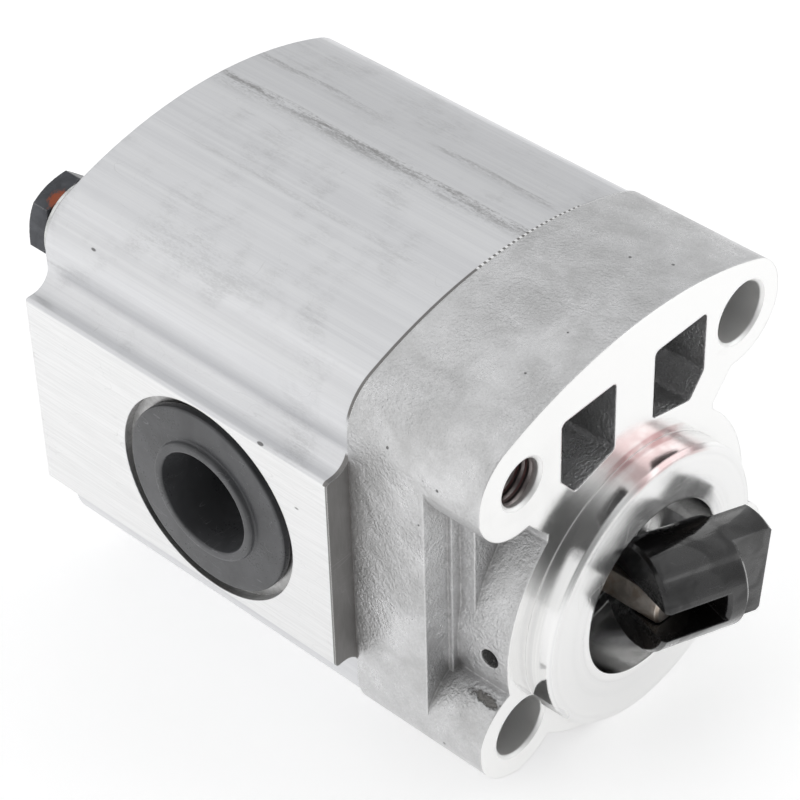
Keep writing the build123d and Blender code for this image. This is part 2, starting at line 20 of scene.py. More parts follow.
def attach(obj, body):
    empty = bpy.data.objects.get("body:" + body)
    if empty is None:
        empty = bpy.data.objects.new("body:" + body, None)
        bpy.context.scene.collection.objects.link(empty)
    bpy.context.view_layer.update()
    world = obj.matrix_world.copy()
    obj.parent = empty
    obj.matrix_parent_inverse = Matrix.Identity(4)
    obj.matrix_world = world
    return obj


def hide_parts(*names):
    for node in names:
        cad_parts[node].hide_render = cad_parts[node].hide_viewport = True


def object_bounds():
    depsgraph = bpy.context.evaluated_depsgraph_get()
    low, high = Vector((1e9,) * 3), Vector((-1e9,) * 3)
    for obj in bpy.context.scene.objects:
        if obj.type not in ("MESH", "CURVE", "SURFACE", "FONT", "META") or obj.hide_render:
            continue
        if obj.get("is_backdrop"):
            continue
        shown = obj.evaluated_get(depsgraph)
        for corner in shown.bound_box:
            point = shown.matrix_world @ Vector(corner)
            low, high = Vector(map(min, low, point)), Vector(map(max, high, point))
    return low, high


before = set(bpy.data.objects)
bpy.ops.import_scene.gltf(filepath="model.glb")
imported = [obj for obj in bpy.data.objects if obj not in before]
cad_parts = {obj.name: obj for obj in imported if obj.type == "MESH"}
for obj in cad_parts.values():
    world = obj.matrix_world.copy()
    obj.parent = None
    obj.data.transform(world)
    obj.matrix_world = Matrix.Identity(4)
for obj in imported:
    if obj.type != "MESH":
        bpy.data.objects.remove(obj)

LOG = logging.getLogger("gear_pump")
MM = 0.001

Feed = Union[bpy.types.NodeSocket, float, Sequence[float]]


class Side(Enum):
    """The two sides that a port can open on."""

    LEFT = -1
    RIGHT = 1


class Corner(Enum):
    """The corners of the hole square, as signs of X and Z from its middle."""

    UPPER_LEFT = (-1, 1)
    UPPER_RIGHT = (1, 1)
    LOWER_LEFT = (-1, -1)
    LOWER_RIGHT = (1, -1)


@dataclass(frozen=True)
class PumpSizes:
    """Sizes in millimetres that the finishes and the new pieces are laid out by."""

    hole_pitch: float = 54.0
    middle_height: float = 11.5
    joint_station: float = 27.3
    port_station: float = 55.5
    port_face: float = 41.8
    bore_radius: float = 17.0
    spotface_edge: float = 19.62
    nick_pitch: float = 1.15

    def hole(self, corner: Corner) -> tuple[float, float]:
        """X and Z of the hole in that corner."""
        half = self.hole_pitch / 2
        return corner.value[0] * half, self.middle_height + corner.value[1] * half


SIZES = PumpSizes()
MOUNTED = (Corner.UPPER_RIGHT, Corner.LOWER_LEFT)


# ------------------------------------------------------------------------- wiring


class Wiring:
    """Adds nodes to one node tree and joins them."""

    def __init__(self, tree: bpy.types.NodeTree) -> None:
        """Keeps the tree.

        Args:
            tree: The material's or the group's node tree.
        """
        self.tree = tree

    def node(self, kind: str, **settings: object) -> bpy.types.Node:
        """Adds a node.

        Args:
            kind: Its type, without the leading ShaderNode.
            settings: Properties set on it.

        Returns:
            The new node.
        """
        made = self.tree.nodes.new("ShaderNode" + kind)
        for key, value in settings.items():
            setattr(made, key, value)
        return made

    def feed(self, target: bpy.types.NodeSocket, source: Feed) -> None:
        """Joins a socket to the target, or sets a plain value on it.

        Args:
            target: The socket that is fed.
            source: A socket, or a plain value.
        """
        if isinstance(source, bpy.types.NodeSocket):
            self.tree.links.new(source, target)
        else:
            target.default_value = source

    def maths(self, operation: str, first: Feed, second: Feed = 0.0) -> bpy.types.NodeSocket:
        """A Math node's result, kept as it is.

        Args:
            operation: The operation's name.
            first: The first value.
            second: The second value.

        Returns:
            The result.
        """
        made = self.node("Math", operation=operation)
        self.feed(made.inputs[0], first)
        self.feed(made.inputs[1], second)
        return made.outputs[0]

    def most(self, *feeds: Feed) -> bpy.types.NodeSocket:
        """The largest of several values.

        Args:
            feeds: The values.

        Returns:
            The result.
        """
        best = feeds[0]
        for other in feeds[1:]:
            best = self.maths("MAXIMUM", best, other)
        return best

    def product(self, *feeds: Feed) -> bpy.types.NodeSocket:
        """Several values multiplied together.

        Args:
            feeds: The values.

        Returns:
            The result.
        """
        total = feeds[0]
        for other in feeds[1:]:
            total = self.maths("MULTIPLY", total, other)
        return total

    def total(self, *feeds: Feed) -> bpy.types.NodeSocket:
        """Several values added together.

        Args:
            feeds: The values.

        Returns:
            The result.
        """
        total = feeds[0]
        for other in feeds[1:]:
            total = self.maths("ADD", total, other)
        return total

    def ramp(
        self, source: Feed, low: float, high: float, start: float = 0.0, end: float = 1.0
    ) -> bpy.types.NodeSocket:
        """A smooth step of the source.

        Args:
            source: The value that is read.
            low: Where the step starts; it may be the larger of the two.
            high: Where it ends.
            start: The result at low, and on its outer side.
            end: The result at high, and on its outer side.

        Returns:
            The stepped value.
        """
        made = self.node("MapRange", interpolation_type="SMOOTHSTEP", clamp=True)
        if low > high:
            low, high, start, end = high, low, end, start
        self.feed(made.inputs["Value"], source)
        for name, value in zip(("From Min", "From Max", "To Min", "To Max"), (low, high, start, end)):
            made.inputs[name].default_value = value
        return made.outputs[0]

    def band(self, source: Feed, low: float, high: float, soft: float) -> bpy.types.NodeSocket:
        """One between low and high and zero outside, with soft edges that wide.

        Args:
            source: The value that is read.
            low: Where the band starts.
            high: Where it ends.
            soft: How wide each edge is.

        Returns:
            The mask.
        """
        return self.product(
            self.ramp(source, low - soft, low), self.ramp(source, high, high + soft, 1.0, 0.0)
        )

    def vector(self, operation: str, first: Feed, second: Feed = (0.0, 0.0, 0.0)) -> bpy.types.Node:
        """A Vector Math node.

        Args:
            operation: The operation's name.
            first: The first vector.
            second: The second vector, or the factor of a SCALE.

        Returns:
            The node.
        """
        made = self.node("VectorMath", operation=operation)
        self.feed(made.inputs[0], first)
        if operation == "SCALE":
            self.feed(made.inputs["Scale"], second)
        else:
            self.feed(made.inputs[1], second)
        return made

    def split(self, source: Feed) -> tuple[bpy.types.NodeSocket, ...]:
        """X, Y and Z of a vector.

        Args:
            source: The vector.

        Returns:
            Its three parts.
        """
        made = self.node("SeparateXYZ")
        self.feed(made.inputs[0], source)
        return tuple(made.outputs)

    def joined(self, x: Feed, y: Feed, z: Feed) -> bpy.types.NodeSocket:
        """A vector from its three parts.

        Args:
            x: The first part.
            y: The second part.
            z: The third part.

        Returns:
            The vector.
        """
        made = self.node("CombineXYZ")
        for socket, part in zip(made.inputs, (x, y, z)):
            self.feed(socket, part)
        return made.outputs[0]

    def stretched(self, source: Feed, factors: Sequence[float]) -> bpy.types.NodeSocket:
        """A vector with each part scaled by its own factor."""
        return self.vector("MULTIPLY", source, tuple(factors)).outputs[0]

    def noise(
        self, source: Feed, scale: Feed, detail: float = 2.0, rough: float = 0.5, twist: float = 0.0
    ) -> bpy.types.NodeSocket:
        """Cloudy noise from 0 to 1.

        Args:
            source: The point that is read.
            scale: Features per unit.
            detail: Octaves.
            rough: How strong the fine octaves are.
            twist: How far the point is pushed about first.

        Returns:
            The noise value.
        """
        made = self.node("TexNoise")
        self.feed(made.inputs["Vector"], source)
        self.feed(made.inputs["Scale"], scale)
        made.inputs["Detail"].default_value = detail
        made.inputs["Roughness"].default_value = rough
        made.inputs["Distortion"].default_value = twist
        return made.outputs[0]

    def cells(self, source: Feed, scale: Feed) -> bpy.types.NodeSocket:
        """Distance to the nearest of a scatter of points.

        Args:
            source: The point that is read.
            scale: Points per unit.

        Returns:
            The distance.
        """
        made = self.node("TexVoronoi")
        self.feed(made.inputs["Vector"], source)
        self.feed(made.inputs["Scale"], scale)
        return made.outputs["Distance"]

    def colour(self, factor: Feed, first: Feed, second: Feed) -> bpy.types.NodeSocket:
        """A mix of two colours, first at 0 and second at 1.

        Args:
            factor: The share of the second colour.
            first: The colour at 0.
            second: The colour at 1.

        Returns:
            The mixed colour.
        """
        made = self.node("Mix", data_type="RGBA", clamp_factor=True)
        self.feed(made.inputs[0], factor)
        self.feed(made.inputs[6], first)
        self.feed(made.inputs[7], second)
        return made.outputs[2]

    def between(self, factor: Feed, first: Feed, second: Feed) -> bpy.types.NodeSocket:
        """A mix of two numbers, first at 0 and second at 1.

        Args:
            factor: The share of the second number.
            first: The number at 0.
            second: The number at 1.

        Returns:
            The mixed number.
        """
        made = self.node("Mix", data_type="FLOAT", clamp_factor=True)
        self.feed(made.inputs[0], factor)
        self.feed(made.inputs[2], first)
        self.feed(made.inputs[3], second)
        return made.outputs[0]

    def bump(self, height: Feed, depth_mm: float, normal: Optional[Feed] = None) -> bpy.types.NodeSocket:
        """A normal leaning by a height map.

        Args:
            height: The height map.
            depth_mm: What a height of 1 stands for.
            normal: The normal that it starts from.

        Returns:
            The bumped normal.
        """
        made = self.node("Bump")
        made.inputs["Distance"].default_value = depth_mm * MM
        self.feed(made.inputs["Height"], height)
        if normal is not None:
            self.feed(made.inputs["Normal"], normal)
        return made.outputs[0]

    def point_mm(self) -> bpy.types.NodeSocket:
        """The surface point on the piece's own Object coordinates, in millimetres."""
        place = self.node("TexCoord")
        return self.vector("SCALE", place.outputs["Object"], 1000.0).outputs[0]

    def facing(self) -> tuple[bpy.types.NodeSocket, ...]:
        """X, Y and Z of the surface normal in the piece's own axes."""
        return self.split(self.node("TexCoord").outputs["Normal"])

    def group(self, tree: bpy.types.NodeTree, **feeds: Feed) -> bpy.types.Node:
        """Places a shader node group and fills its inputs by name.

        Args:
            tree: The group.
            feeds: Its inputs, with underscores for spaces.

        Returns:
            The placed node.
        """
        made = self.node("Group", node_tree=tree)
        for key, source in feeds.items():
            self.feed(made.inputs[key.replace("_", " ")], source)
        return made


def colour_of(level: float, tint: Sequence[float] = (1.0, 1.0, 1.0)) -> tuple[float, ...]:
    """A grey of that level with a tint over it, as four numbers."""
    return (level * tint[0], level * tint[1], level * tint[2], 1.0)


# ------------------------------------------------------------------- shared effects


class SharedEffects:
    """Shader node groups that the finishes place."""

    def __init__(self) -> None:
        """Builds each group once."""
        self.worn_and_highlit_edges = self._group(
            "worn and highlit edges", {"Radius": 0.0003}, {}, ("Mask",), ("Normal",), self._worn_and_highlit_edges
        )
        self.cast_skin = self._group(
            "cast skin", {"Grain": 1.0}, {"Point"}, ("Height", "Tone", "Painted Glint"), (), self._cast_skin
        )
        self.drawn_lines = self._group(
            "drawn lines", {"Pitch": 1.0}, {"Point"}, ("Height", "Tone", "Streak"), (), self._drawn_lines
        )
        self.turned_rings = self._group(
            "turned rings", {"Pitch": 1.0}, {"Point"}, ("Height", "Tone"), (), self._turned_rings
        )
        self.handling_marks = self._group(
            "handling marks", {"Spacing": 1.0}, {"Point"}, ("Scratch", "Smudge"), (), self._handling_marks
        )
        self.painted_corner_shade = self._group(
            "painted corner shade", {"Reach": 0.001}, {"Point"}, ("Mask",), (), self._painted_corner_shade
        )

    def _group(
        self,
        name: str,
        numbers: dict[str, float],
        vectors: set[str],
        values_out: Sequence[str],
        normals_out: Sequence[str],
        fill: Callable[[Wiring, dict, dict], None],
    ) -> bpy.types.NodeTree:
        """Makes one group's sockets and lets its own method wire the inside.

        Args:
            name: The group's name.
            numbers: Input numbers and the values that they start at.
            vectors: Names of input vectors.
            values_out: Names of output numbers.
            normals_out: Names of output normals.
            fill: The method that wires the inside.

        Returns:
            The finished group.
        """
        tree = bpy.data.node_groups.new(name, "ShaderNodeTree")
        for key in sorted(vectors):
            tree.interface.new_socket(name=key, in_out="INPUT", socket_type="NodeSocketVector")
        for key, value in numbers.items():
            made = tree.interface.new_socket(name=key, in_out="INPUT", socket_type="NodeSocketFloat")
            made.default_value = value
        for key in values_out:
            tree.interface.new_socket(name=key, in_out="OUTPUT", socket_type="NodeSocketFloat")
        for key in normals_out:
            tree.interface.new_socket(name=key, in_out="OUTPUT", socket_type="NodeSocketVector")
        start, end = tree.nodes.new("NodeGroupInput"), tree.nodes.new("NodeGroupOutput")
        fill(Wiring(tree), start.outputs, end.inputs)
        return tree

    @staticmethod
    def _worn_and_highlit_edges(wires: Wiring, given: dict, out: dict) -> None:
        """Rounds the shading at edges by Radius, and marks where that turned the normal.

        The mask is a smooth step of the dot product of the rounded and the plain normal.

        Args:
            wires: The wiring of the group's inside.
            given: The group's inputs by name.
            out: The group's outputs by name.
        """
        rounded = wires.node("Bevel", samples=4)
        wires.feed(rounded.inputs["Radius"], given["Radius"])
        plain = wires.node("NewGeometry").outputs["Normal"]
        along = wires.vector("DOT_PRODUCT", rounded.outputs[0], plain).outputs["Value"]
        wires.feed(out["Mask"], wires.ramp(along, 0.995, 0.86, 0.0, 1.0))
        wires.feed(out["Normal"], rounded.outputs[0])

    @staticmethod
    def _cast_skin(wires: Wiring, given: dict, out: dict) -> None:
        """A die-cast skin: fine grains, soft waves, blotches of tone and a painted glint on the grain tops.

        Args:
            wires: The wiring of the group's inside.
            given: The group's inputs by name.
            out: The group's outputs by name.
        """
        point = wires.vector("SCALE", given["Point"], given["Grain"]).outputs[0]
        grains = wires.noise(point, 1.75, 3.0, 0.62, 0.15)
        fine = wires.noise(point, 3.2, 3.0, 0.6)
        waves = wires.noise(point, 0.28, 3.0, 0.5, 0.6)
        patchy = wires.ramp(wires.noise(point, 0.07, 2.0), 0.35, 0.62, 0.35, 1.0)
        height = wires.total(
            wires.product(grains, patchy, 0.85), wires.product(fine, 0.25), wires.product(waves, 0.7)
        )
        wires.feed(out["Height"], height)
        blotch = wires.noise(point, 0.11, 4.0, 0.6, 0.4)
        tone = wires.total(wires.product(blotch, 0.7), wires.product(fine, 0.3))
        wires.feed(out["Tone"], wires.ramp(tone, 0.3, 0.7))
        wires.feed(out["Painted Glint"], wires.product(wires.ramp(grains, 0.60, 0.72), patchy))

    @staticmethod
    def _drawn_lines(wires: Wiring, given: dict, out: dict) -> None:
        """Lines along Y, of noise stretched a hundredfold or more that way, and shorter streaks.

        Args:
            wires: The wiring of the group's inside.
            given: The group's inputs by name.
            out: The group's outputs by name.
        """
        point = wires.vector("SCALE", given["Point"], given["Pitch"]).outputs[0]
        long = wires.stretched(point, (1.0, 0.010, 1.0))
        fine = wires.noise(long, 3.2, 2.0, 0.7)
        medium = wires.noise(long, 0.9, 2.0, 0.6)
        broad = wires.noise(wires.stretched(point, (1.0, 0.004, 1.0)), 0.16, 2.0, 0.5)
        wires.feed(
            out["Height"], wires.total(wires.product(fine, 0.5), wires.product(medium, 0.8))
        )
        wires.feed(
            out["Tone"],
            wires.ramp(
                wires.total(
                    wires.product(fine, 0.25), wires.product(medium, 0.40), wires.product(broad, 0.35)
                ),
                0.36,
                0.64,
            ),
        )
        smoke = wires.noise(wires.stretched(point, (1.0, 0.12, 1.0)), 0.9, 5.0, 0.75)
        specks = wires.noise(wires.stretched(point, (1.0, 0.5, 1.0)), 3.0, 3.0, 0.7)
        wires.feed(
            out["Streak"],
            wires.ramp(wires.total(wires.product(smoke, 0.62), wires.product(specks, 0.38)), 0.40, 0.62),
        )

    @staticmethod
    def _turned_rings(wires: Wiring, given: dict, out: dict) -> None:
        """Lathe rings about the Z of Point: noise read along radius plus depth alone.

        Args:
            wires: The wiring of the group's inside.
            given: The group's inputs by name.
            out: The group's outputs by name.
        """
        x, y, z = wires.split(given["Point"])
        radius = wires.vector("LENGTH", wires.joined(x, y, 0.0)).outputs["Value"]
        along = wires.product(wires.total(radius, z), given["Pitch"])
        line = wires.joined(along, 0.0, 0.0)
        fine = wires.noise(line, 5.0, 2.0, 0.7)
        wide = wires.noise(line, 0.9, 2.0, 0.5)
        wires.feed(out["Height"], wires.total(wires.product(fine, 0.7), wires.product(wide, 0.3)))
        wires.feed(
            out["Tone"],
            wires.ramp(
                wires.total(wires.product(fine, 0.4), wires.product(wide, 0.6)), 0.35, 0.65
            ),
        )

    @staticmethod
    def _handling_marks(wires: Wiring, given: dict, out: dict) -> None:
        """Thin scratches where two stretched noises cross a level, and cloudy smudges.

        Args:
            wires: The wiring of the group's inside.
            given: The group's inputs by name.
            out: The group's outputs by name.
        """
        point = wires.vector("SCALE", given["Point"], given["Spacing"]).outputs[0]
        found = []
        for turn, scale in (((1.0, 0.12, 0.45), 0.34), ((0.14, 1.0, 0.8), 0.27)):
            level = wires.noise(wires.stretched(point, turn), scale, 1.0, 0.4, 0.3)
            away = wires.maths("ABSOLUTE", wires.maths("SUBTRACT", level, 0.5))
            found.append(wires.ramp(away, 0.0, 0.0035, 1.0, 0.0))
        patches = wires.ramp(wires.noise(point, 0.12, 2.0), 0.48, 0.60)
        wires.feed(out["Scratch"], wires.product(wires.most(*found), patches))
        wires.feed(out["Smudge"], wires.ramp(wires.noise(point, 0.07, 4.0, 0.6, 0.5), 0.35, 0.7))

    @staticmethod
    def _painted_corner_shade(wires: Wiring, given: dict, out: dict) -> None:
        """Painted shade in corners: how shut in the point is within Reach, broken up by noise.

        Args:
            wires: The wiring of the group's inside.
            given: The group's inputs by name.
            out: The group's outputs by name.
        """
        # Occlusion here gives painted shade in corners, crevices and hollows.
        shut = wires.node("AmbientOcclusion", samples=4, only_local=False)
        wires.feed(shut.inputs["Distance"], given["Reach"])
        closed = wires.ramp(shut.outputs["AO"], 0.25, 0.9, 1.0, 0.0)
        rough = wires.ramp(wires.noise(given["Point"], 0.8, 4.0, 0.65), 0.25, 0.75, 0.45, 1.0)
        wires.feed(out["Mask"], wires.product(closed, rough))


EFFECTS = SharedEffects()


# ------------------------------------------------------------------------ finishes


@dataclass(frozen=True)
class Finish:
    """A material with its own node wiring."""

    name: str

    def material(self) -> bpy.types.Material:
        """Makes the material.

        Returns:
            The new material, with this finish's nodes.
        """
        made = bpy.data.materials.new(self.name)
        made.use_nodes = True
        shader = made.node_tree.nodes["Principled BSDF"]
        wires = Wiring(made.node_tree)
        self.dress(wires, shader.inputs, wires.point_mm())
        return made

    def dress(self, wires: Wiring, shader: bpy.types.NodeInputs, point: bpy.types.NodeSocket) -> None:
        """Wires the shader's inputs; each finish has its own."""
        raise NotImplementedError


def near_hole(wires: Wiring, point: Feed, corner: Corner, radius: float) -> bpy.types.NodeSocket:
    """One within radius of a corner hole's axis and zero outside.

    Args:
        wires: The wiring in use.
        point: The surface point in millimetres.
        corner: Which hole.
        radius: The zone's radius in millimetres.

    Returns:
        The mask.
    """
    hole_x, hole_z = SIZES.hole(corner)
    offset = wires.vector("SUBTRACT", point, (hole_x, 0.0, hole_z)).outputs[0]
    flat = wires.stretched(offset, (1.0, 0.0, 1.0))
    away = wires.vector("LENGTH", flat).outputs["Value"]
    return wires.ramp(away, radius - 0.03, radius + 0.03, 1.0, 0.0)


@dataclass(frozen=True)
class CastFlangeFinish(Finish):
    """Die-cast aluminium with a milled face, a turned pilot and drilled holes."""

    cast_level: float = 0.64
    milled_level: float = 0.90
    cast_rough: float = 0.31
    milled_rough: float = 0.15
    grain_depth_mm: float = 0.34
    mount_zone: float = 6.25
    tapped_zone: float = 4.95
    drilled_rough: float = 0.5

    def dress(self, wires: Wiring, shader: bpy.types.NodeInputs, point: bpy.types.NodeSocket) -> None:
        """Masks the machined zones by place and direction, and wires both skins.

        Args:
            wires: The wiring of the material.
            shader: The shader's inputs.
            point: The surface point in millimetres.
        """
        x, y, z = wires.split(point)
        _, across, _ = wires.facing()
        radius = wires.vector("LENGTH", wires.stretched(point, (1.0, 0.0, 1.0))).outputs["Value"]
        face = wires.product(wires.ramp(y, 0.04, 0.10, 1.0, 0.0), wires.ramp(across, -0.6, -0.8))
        pilot = wires.ramp(y, -0.06, -0.01, 1.0, 0.0)
        bore = wires.ramp(radius, SIZES.bore_radius, SIZES.bore_radius + 0.1, 1.0, 0.0)
        rear = wires.ramp(y, SIZES.joint_station - 0.08, SIZES.joint_station - 0.02)
        holes = [
            near_hole(wires, point, corner, self.mount_zone if corner in MOUNTED else self.tapped_zone)
            for corner in Corner
        ]
        milled = wires.most(face, pilot, bore, rear, *holes)
        turned = wires.most(pilot, bore)

        skin = wires.group(EFFECTS.cast_skin, Point=point, Grain=1.0)
        spun = wires.joined(x, z, y)
        rings = wires.group(EFFECTS.turned_rings, Point=spun, Pitch=1.0)
        marks = wires.group(EFFECTS.handling_marks, Point=point, Spacing=1.0)
        edges = wires.group(EFFECTS.worn_and_highlit_edges, Radius=0.00045)
        corner_shade = wires.group(EFFECTS.painted_corner_shade, Point=point, Reach=0.0035)

        low = colour_of(self.cast_level * 0.84)
        high = colour_of(self.cast_level * 1.14, (1.0, 1.0, 1.01))
        cast = wires.colour(skin.outputs["Tone"], low, high)
        # Painted glint: the grain tops are painted light grey as sparkling highlights.
        cast = wires.colour(wires.product(skin.outputs["Painted Glint"], 0.35), cast, colour_of(0.90))
        # Edges lightened: partly edge wear, partly a painted highlight.
        cast = wires.colour(wires.product(edges.outputs["Mask"], 0.7), cast, colour_of(0.92))
        # Painted shade: the pores are painted near black for the shade inside them.
        pores = wires.ramp(wires.cells(point, 0.16), 0.035, 0.055, 1.0, 0.0)
        cast = wires.colour(wires.product(pores, 0.8), cast, colour_of(0.10))
        scar = self._scar(wires, point)
        cast = wires.colour(scar, cast, colour_of(0.20, (1.0, 0.97, 0.93)))
        bright = colour_of(self.milled_level, (1.0, 0.998, 0.99))
        dull = colour_of(self.milled_level * 0.86)
        plain = wires.colour(wires.product(rings.outputs["Tone"], turned), bright, dull)
        plain = wires.colour(wires.product(marks.outputs["Scratch"], 0.18), plain, colour_of(0.45))
        # Painted reflection of a red object at the pilot's foot, and a greasy red film in the upper left
        # hole.
        red_reflection_and_grease = self._red_reflection_and_grease(wires, point, radius)
        plain = wires.colour(wires.product(red_reflection_and_grease, 0.85), plain, (0.40, 0.14, 0.14, 1.0))
        shade = wires.colour(milled, cast, plain)
        # Painted shade: corners and hollows are darkened towards brown, less on the milled faces, and their
        # gloss is dulled.
        painted_shade = wires.product(corner_shade.outputs["Mask"], wires.between(milled, 0.75, 0.12))
        wires.feed(shader["Base Color"], wires.colour(painted_shade, shade, (0.10, 0.092, 0.085, 1.0)))

        rough_cast = wires.ramp(
            skin.outputs["Tone"], 0.0, 1.0, self.cast_rough + 0.08, self.cast_rough - 0.05
        )
        rough_milled = wires.ramp(
            marks.outputs["Smudge"], 0.0, 1.0, self.milled_rough - 0.03, self.milled_rough + 0.07
        )
        rough = wires.between(milled, rough_cast, rough_milled)
        rough = wires.between(wires.most(*holes), rough, self.drilled_rough)
        wires.feed(shader["Roughness"], wires.total(rough, wires.product(painted_shade, 0.25)))
        wires.feed(shader["Metallic"], wires.ramp(painted_shade, 0.1, 0.9, 1.0, 0.45))

        cast_height = wires.maths(
            "SUBTRACT",
            skin.outputs["Height"],
            wires.total(wires.product(pores, 1.6), wires.product(scar, 1.1)),
        )
        cast_normal = wires.bump(cast_height, self.grain_depth_mm, edges.outputs["Normal"])
        ring_height = wires.product(rings.outputs["Height"], turned)
        fine = wires.total(ring_height, wires.product(marks.outputs["Scratch"], -0.6))
        milled_normal = wires.bump(fine, 0.006, edges.outputs["Normal"])
        mixed = wires.node("Mix", data_type="VECTOR", clamp_factor=True)
        wires.feed(mixed.inputs[0], milled)
        wires.feed(mixed.inputs[4], cast_normal)
        wires.feed(mixed.inputs[5], milled_normal)
        wires.feed(shader["Normal"], wires.vector("NORMALIZE", mixed.outputs[1]).outputs[0])

    @staticmethod
    def _scar(wires: Wiring, point: Feed) -> bpy.types.NodeSocket:
        """A ragged trimmed edge along the top of the lower left ear.

        The distance from a straight line through (-31.4, 6.5, -7.8) along the ear is less
        than about a millimetre, and a noise breaks the edge up.

        Args:
            wires: The wiring in use.
            point: The surface point in millimetres.

        Returns:
            The mask.
        """
        ridge_middle = (-31.4, 6.5, -7.8)
        run = Vector((-2.8, -14.0, 3.6)).normalized()
        away = wires.vector("SUBTRACT", point, ridge_middle).outputs[0]
        across = wires.vector("CROSS_PRODUCT", away, tuple(run)).outputs[0]
        distance = wires.vector("LENGTH", across).outputs["Value"]
        along = wires.vector("DOT_PRODUCT", away, tuple(run)).outputs["Value"]
        torn = wires.noise(point, 0.75, 4.0, 0.7, 1.0)
        ragged = wires.total(distance, wires.product(torn, 2.4))
        return wires.product(wires.ramp(ragged, 1.8, 2.2, 1.0, 0.0), wires.band(along, -8.5, 7.6, 0.8))

    @staticmethod
    def _red_reflection_and_grease(wires: Wiring, point: Feed, radius: Feed) -> bpy.types.NodeSocket:
        """A painted red reflection at the pilot's foot, and a thin greasy red film in the upper left hole.

        Args:
            wires: The wiring in use.
            point: The surface point in millimetres.
            radius: Distance from the shaft's axis.

        Returns:
            The mask.
        """
        x, y, z = wires.split(point)
        cloudy = wires.ramp(wires.noise(point, 0.20, 2.0, 0.5), 0.30, 0.60, 0.35, 1.0)
        # The pilot's foot: a painted red reflection.
        foot = wires.product(
            wires.band(radius, 25.2, 27.2, 0.7), wires.band(x, -3.0, 9.0, 6.0), wires.ramp(z, 17.0, 24.0), 0.6
        )
        thread = wires.product(
            near_hole(wires, point, Corner.UPPER_LEFT, 4.9), wires.ramp(y, 0.8, 3.0), 0.9
        )
        return wires.product(wires.most(foot, thread), cloudy)


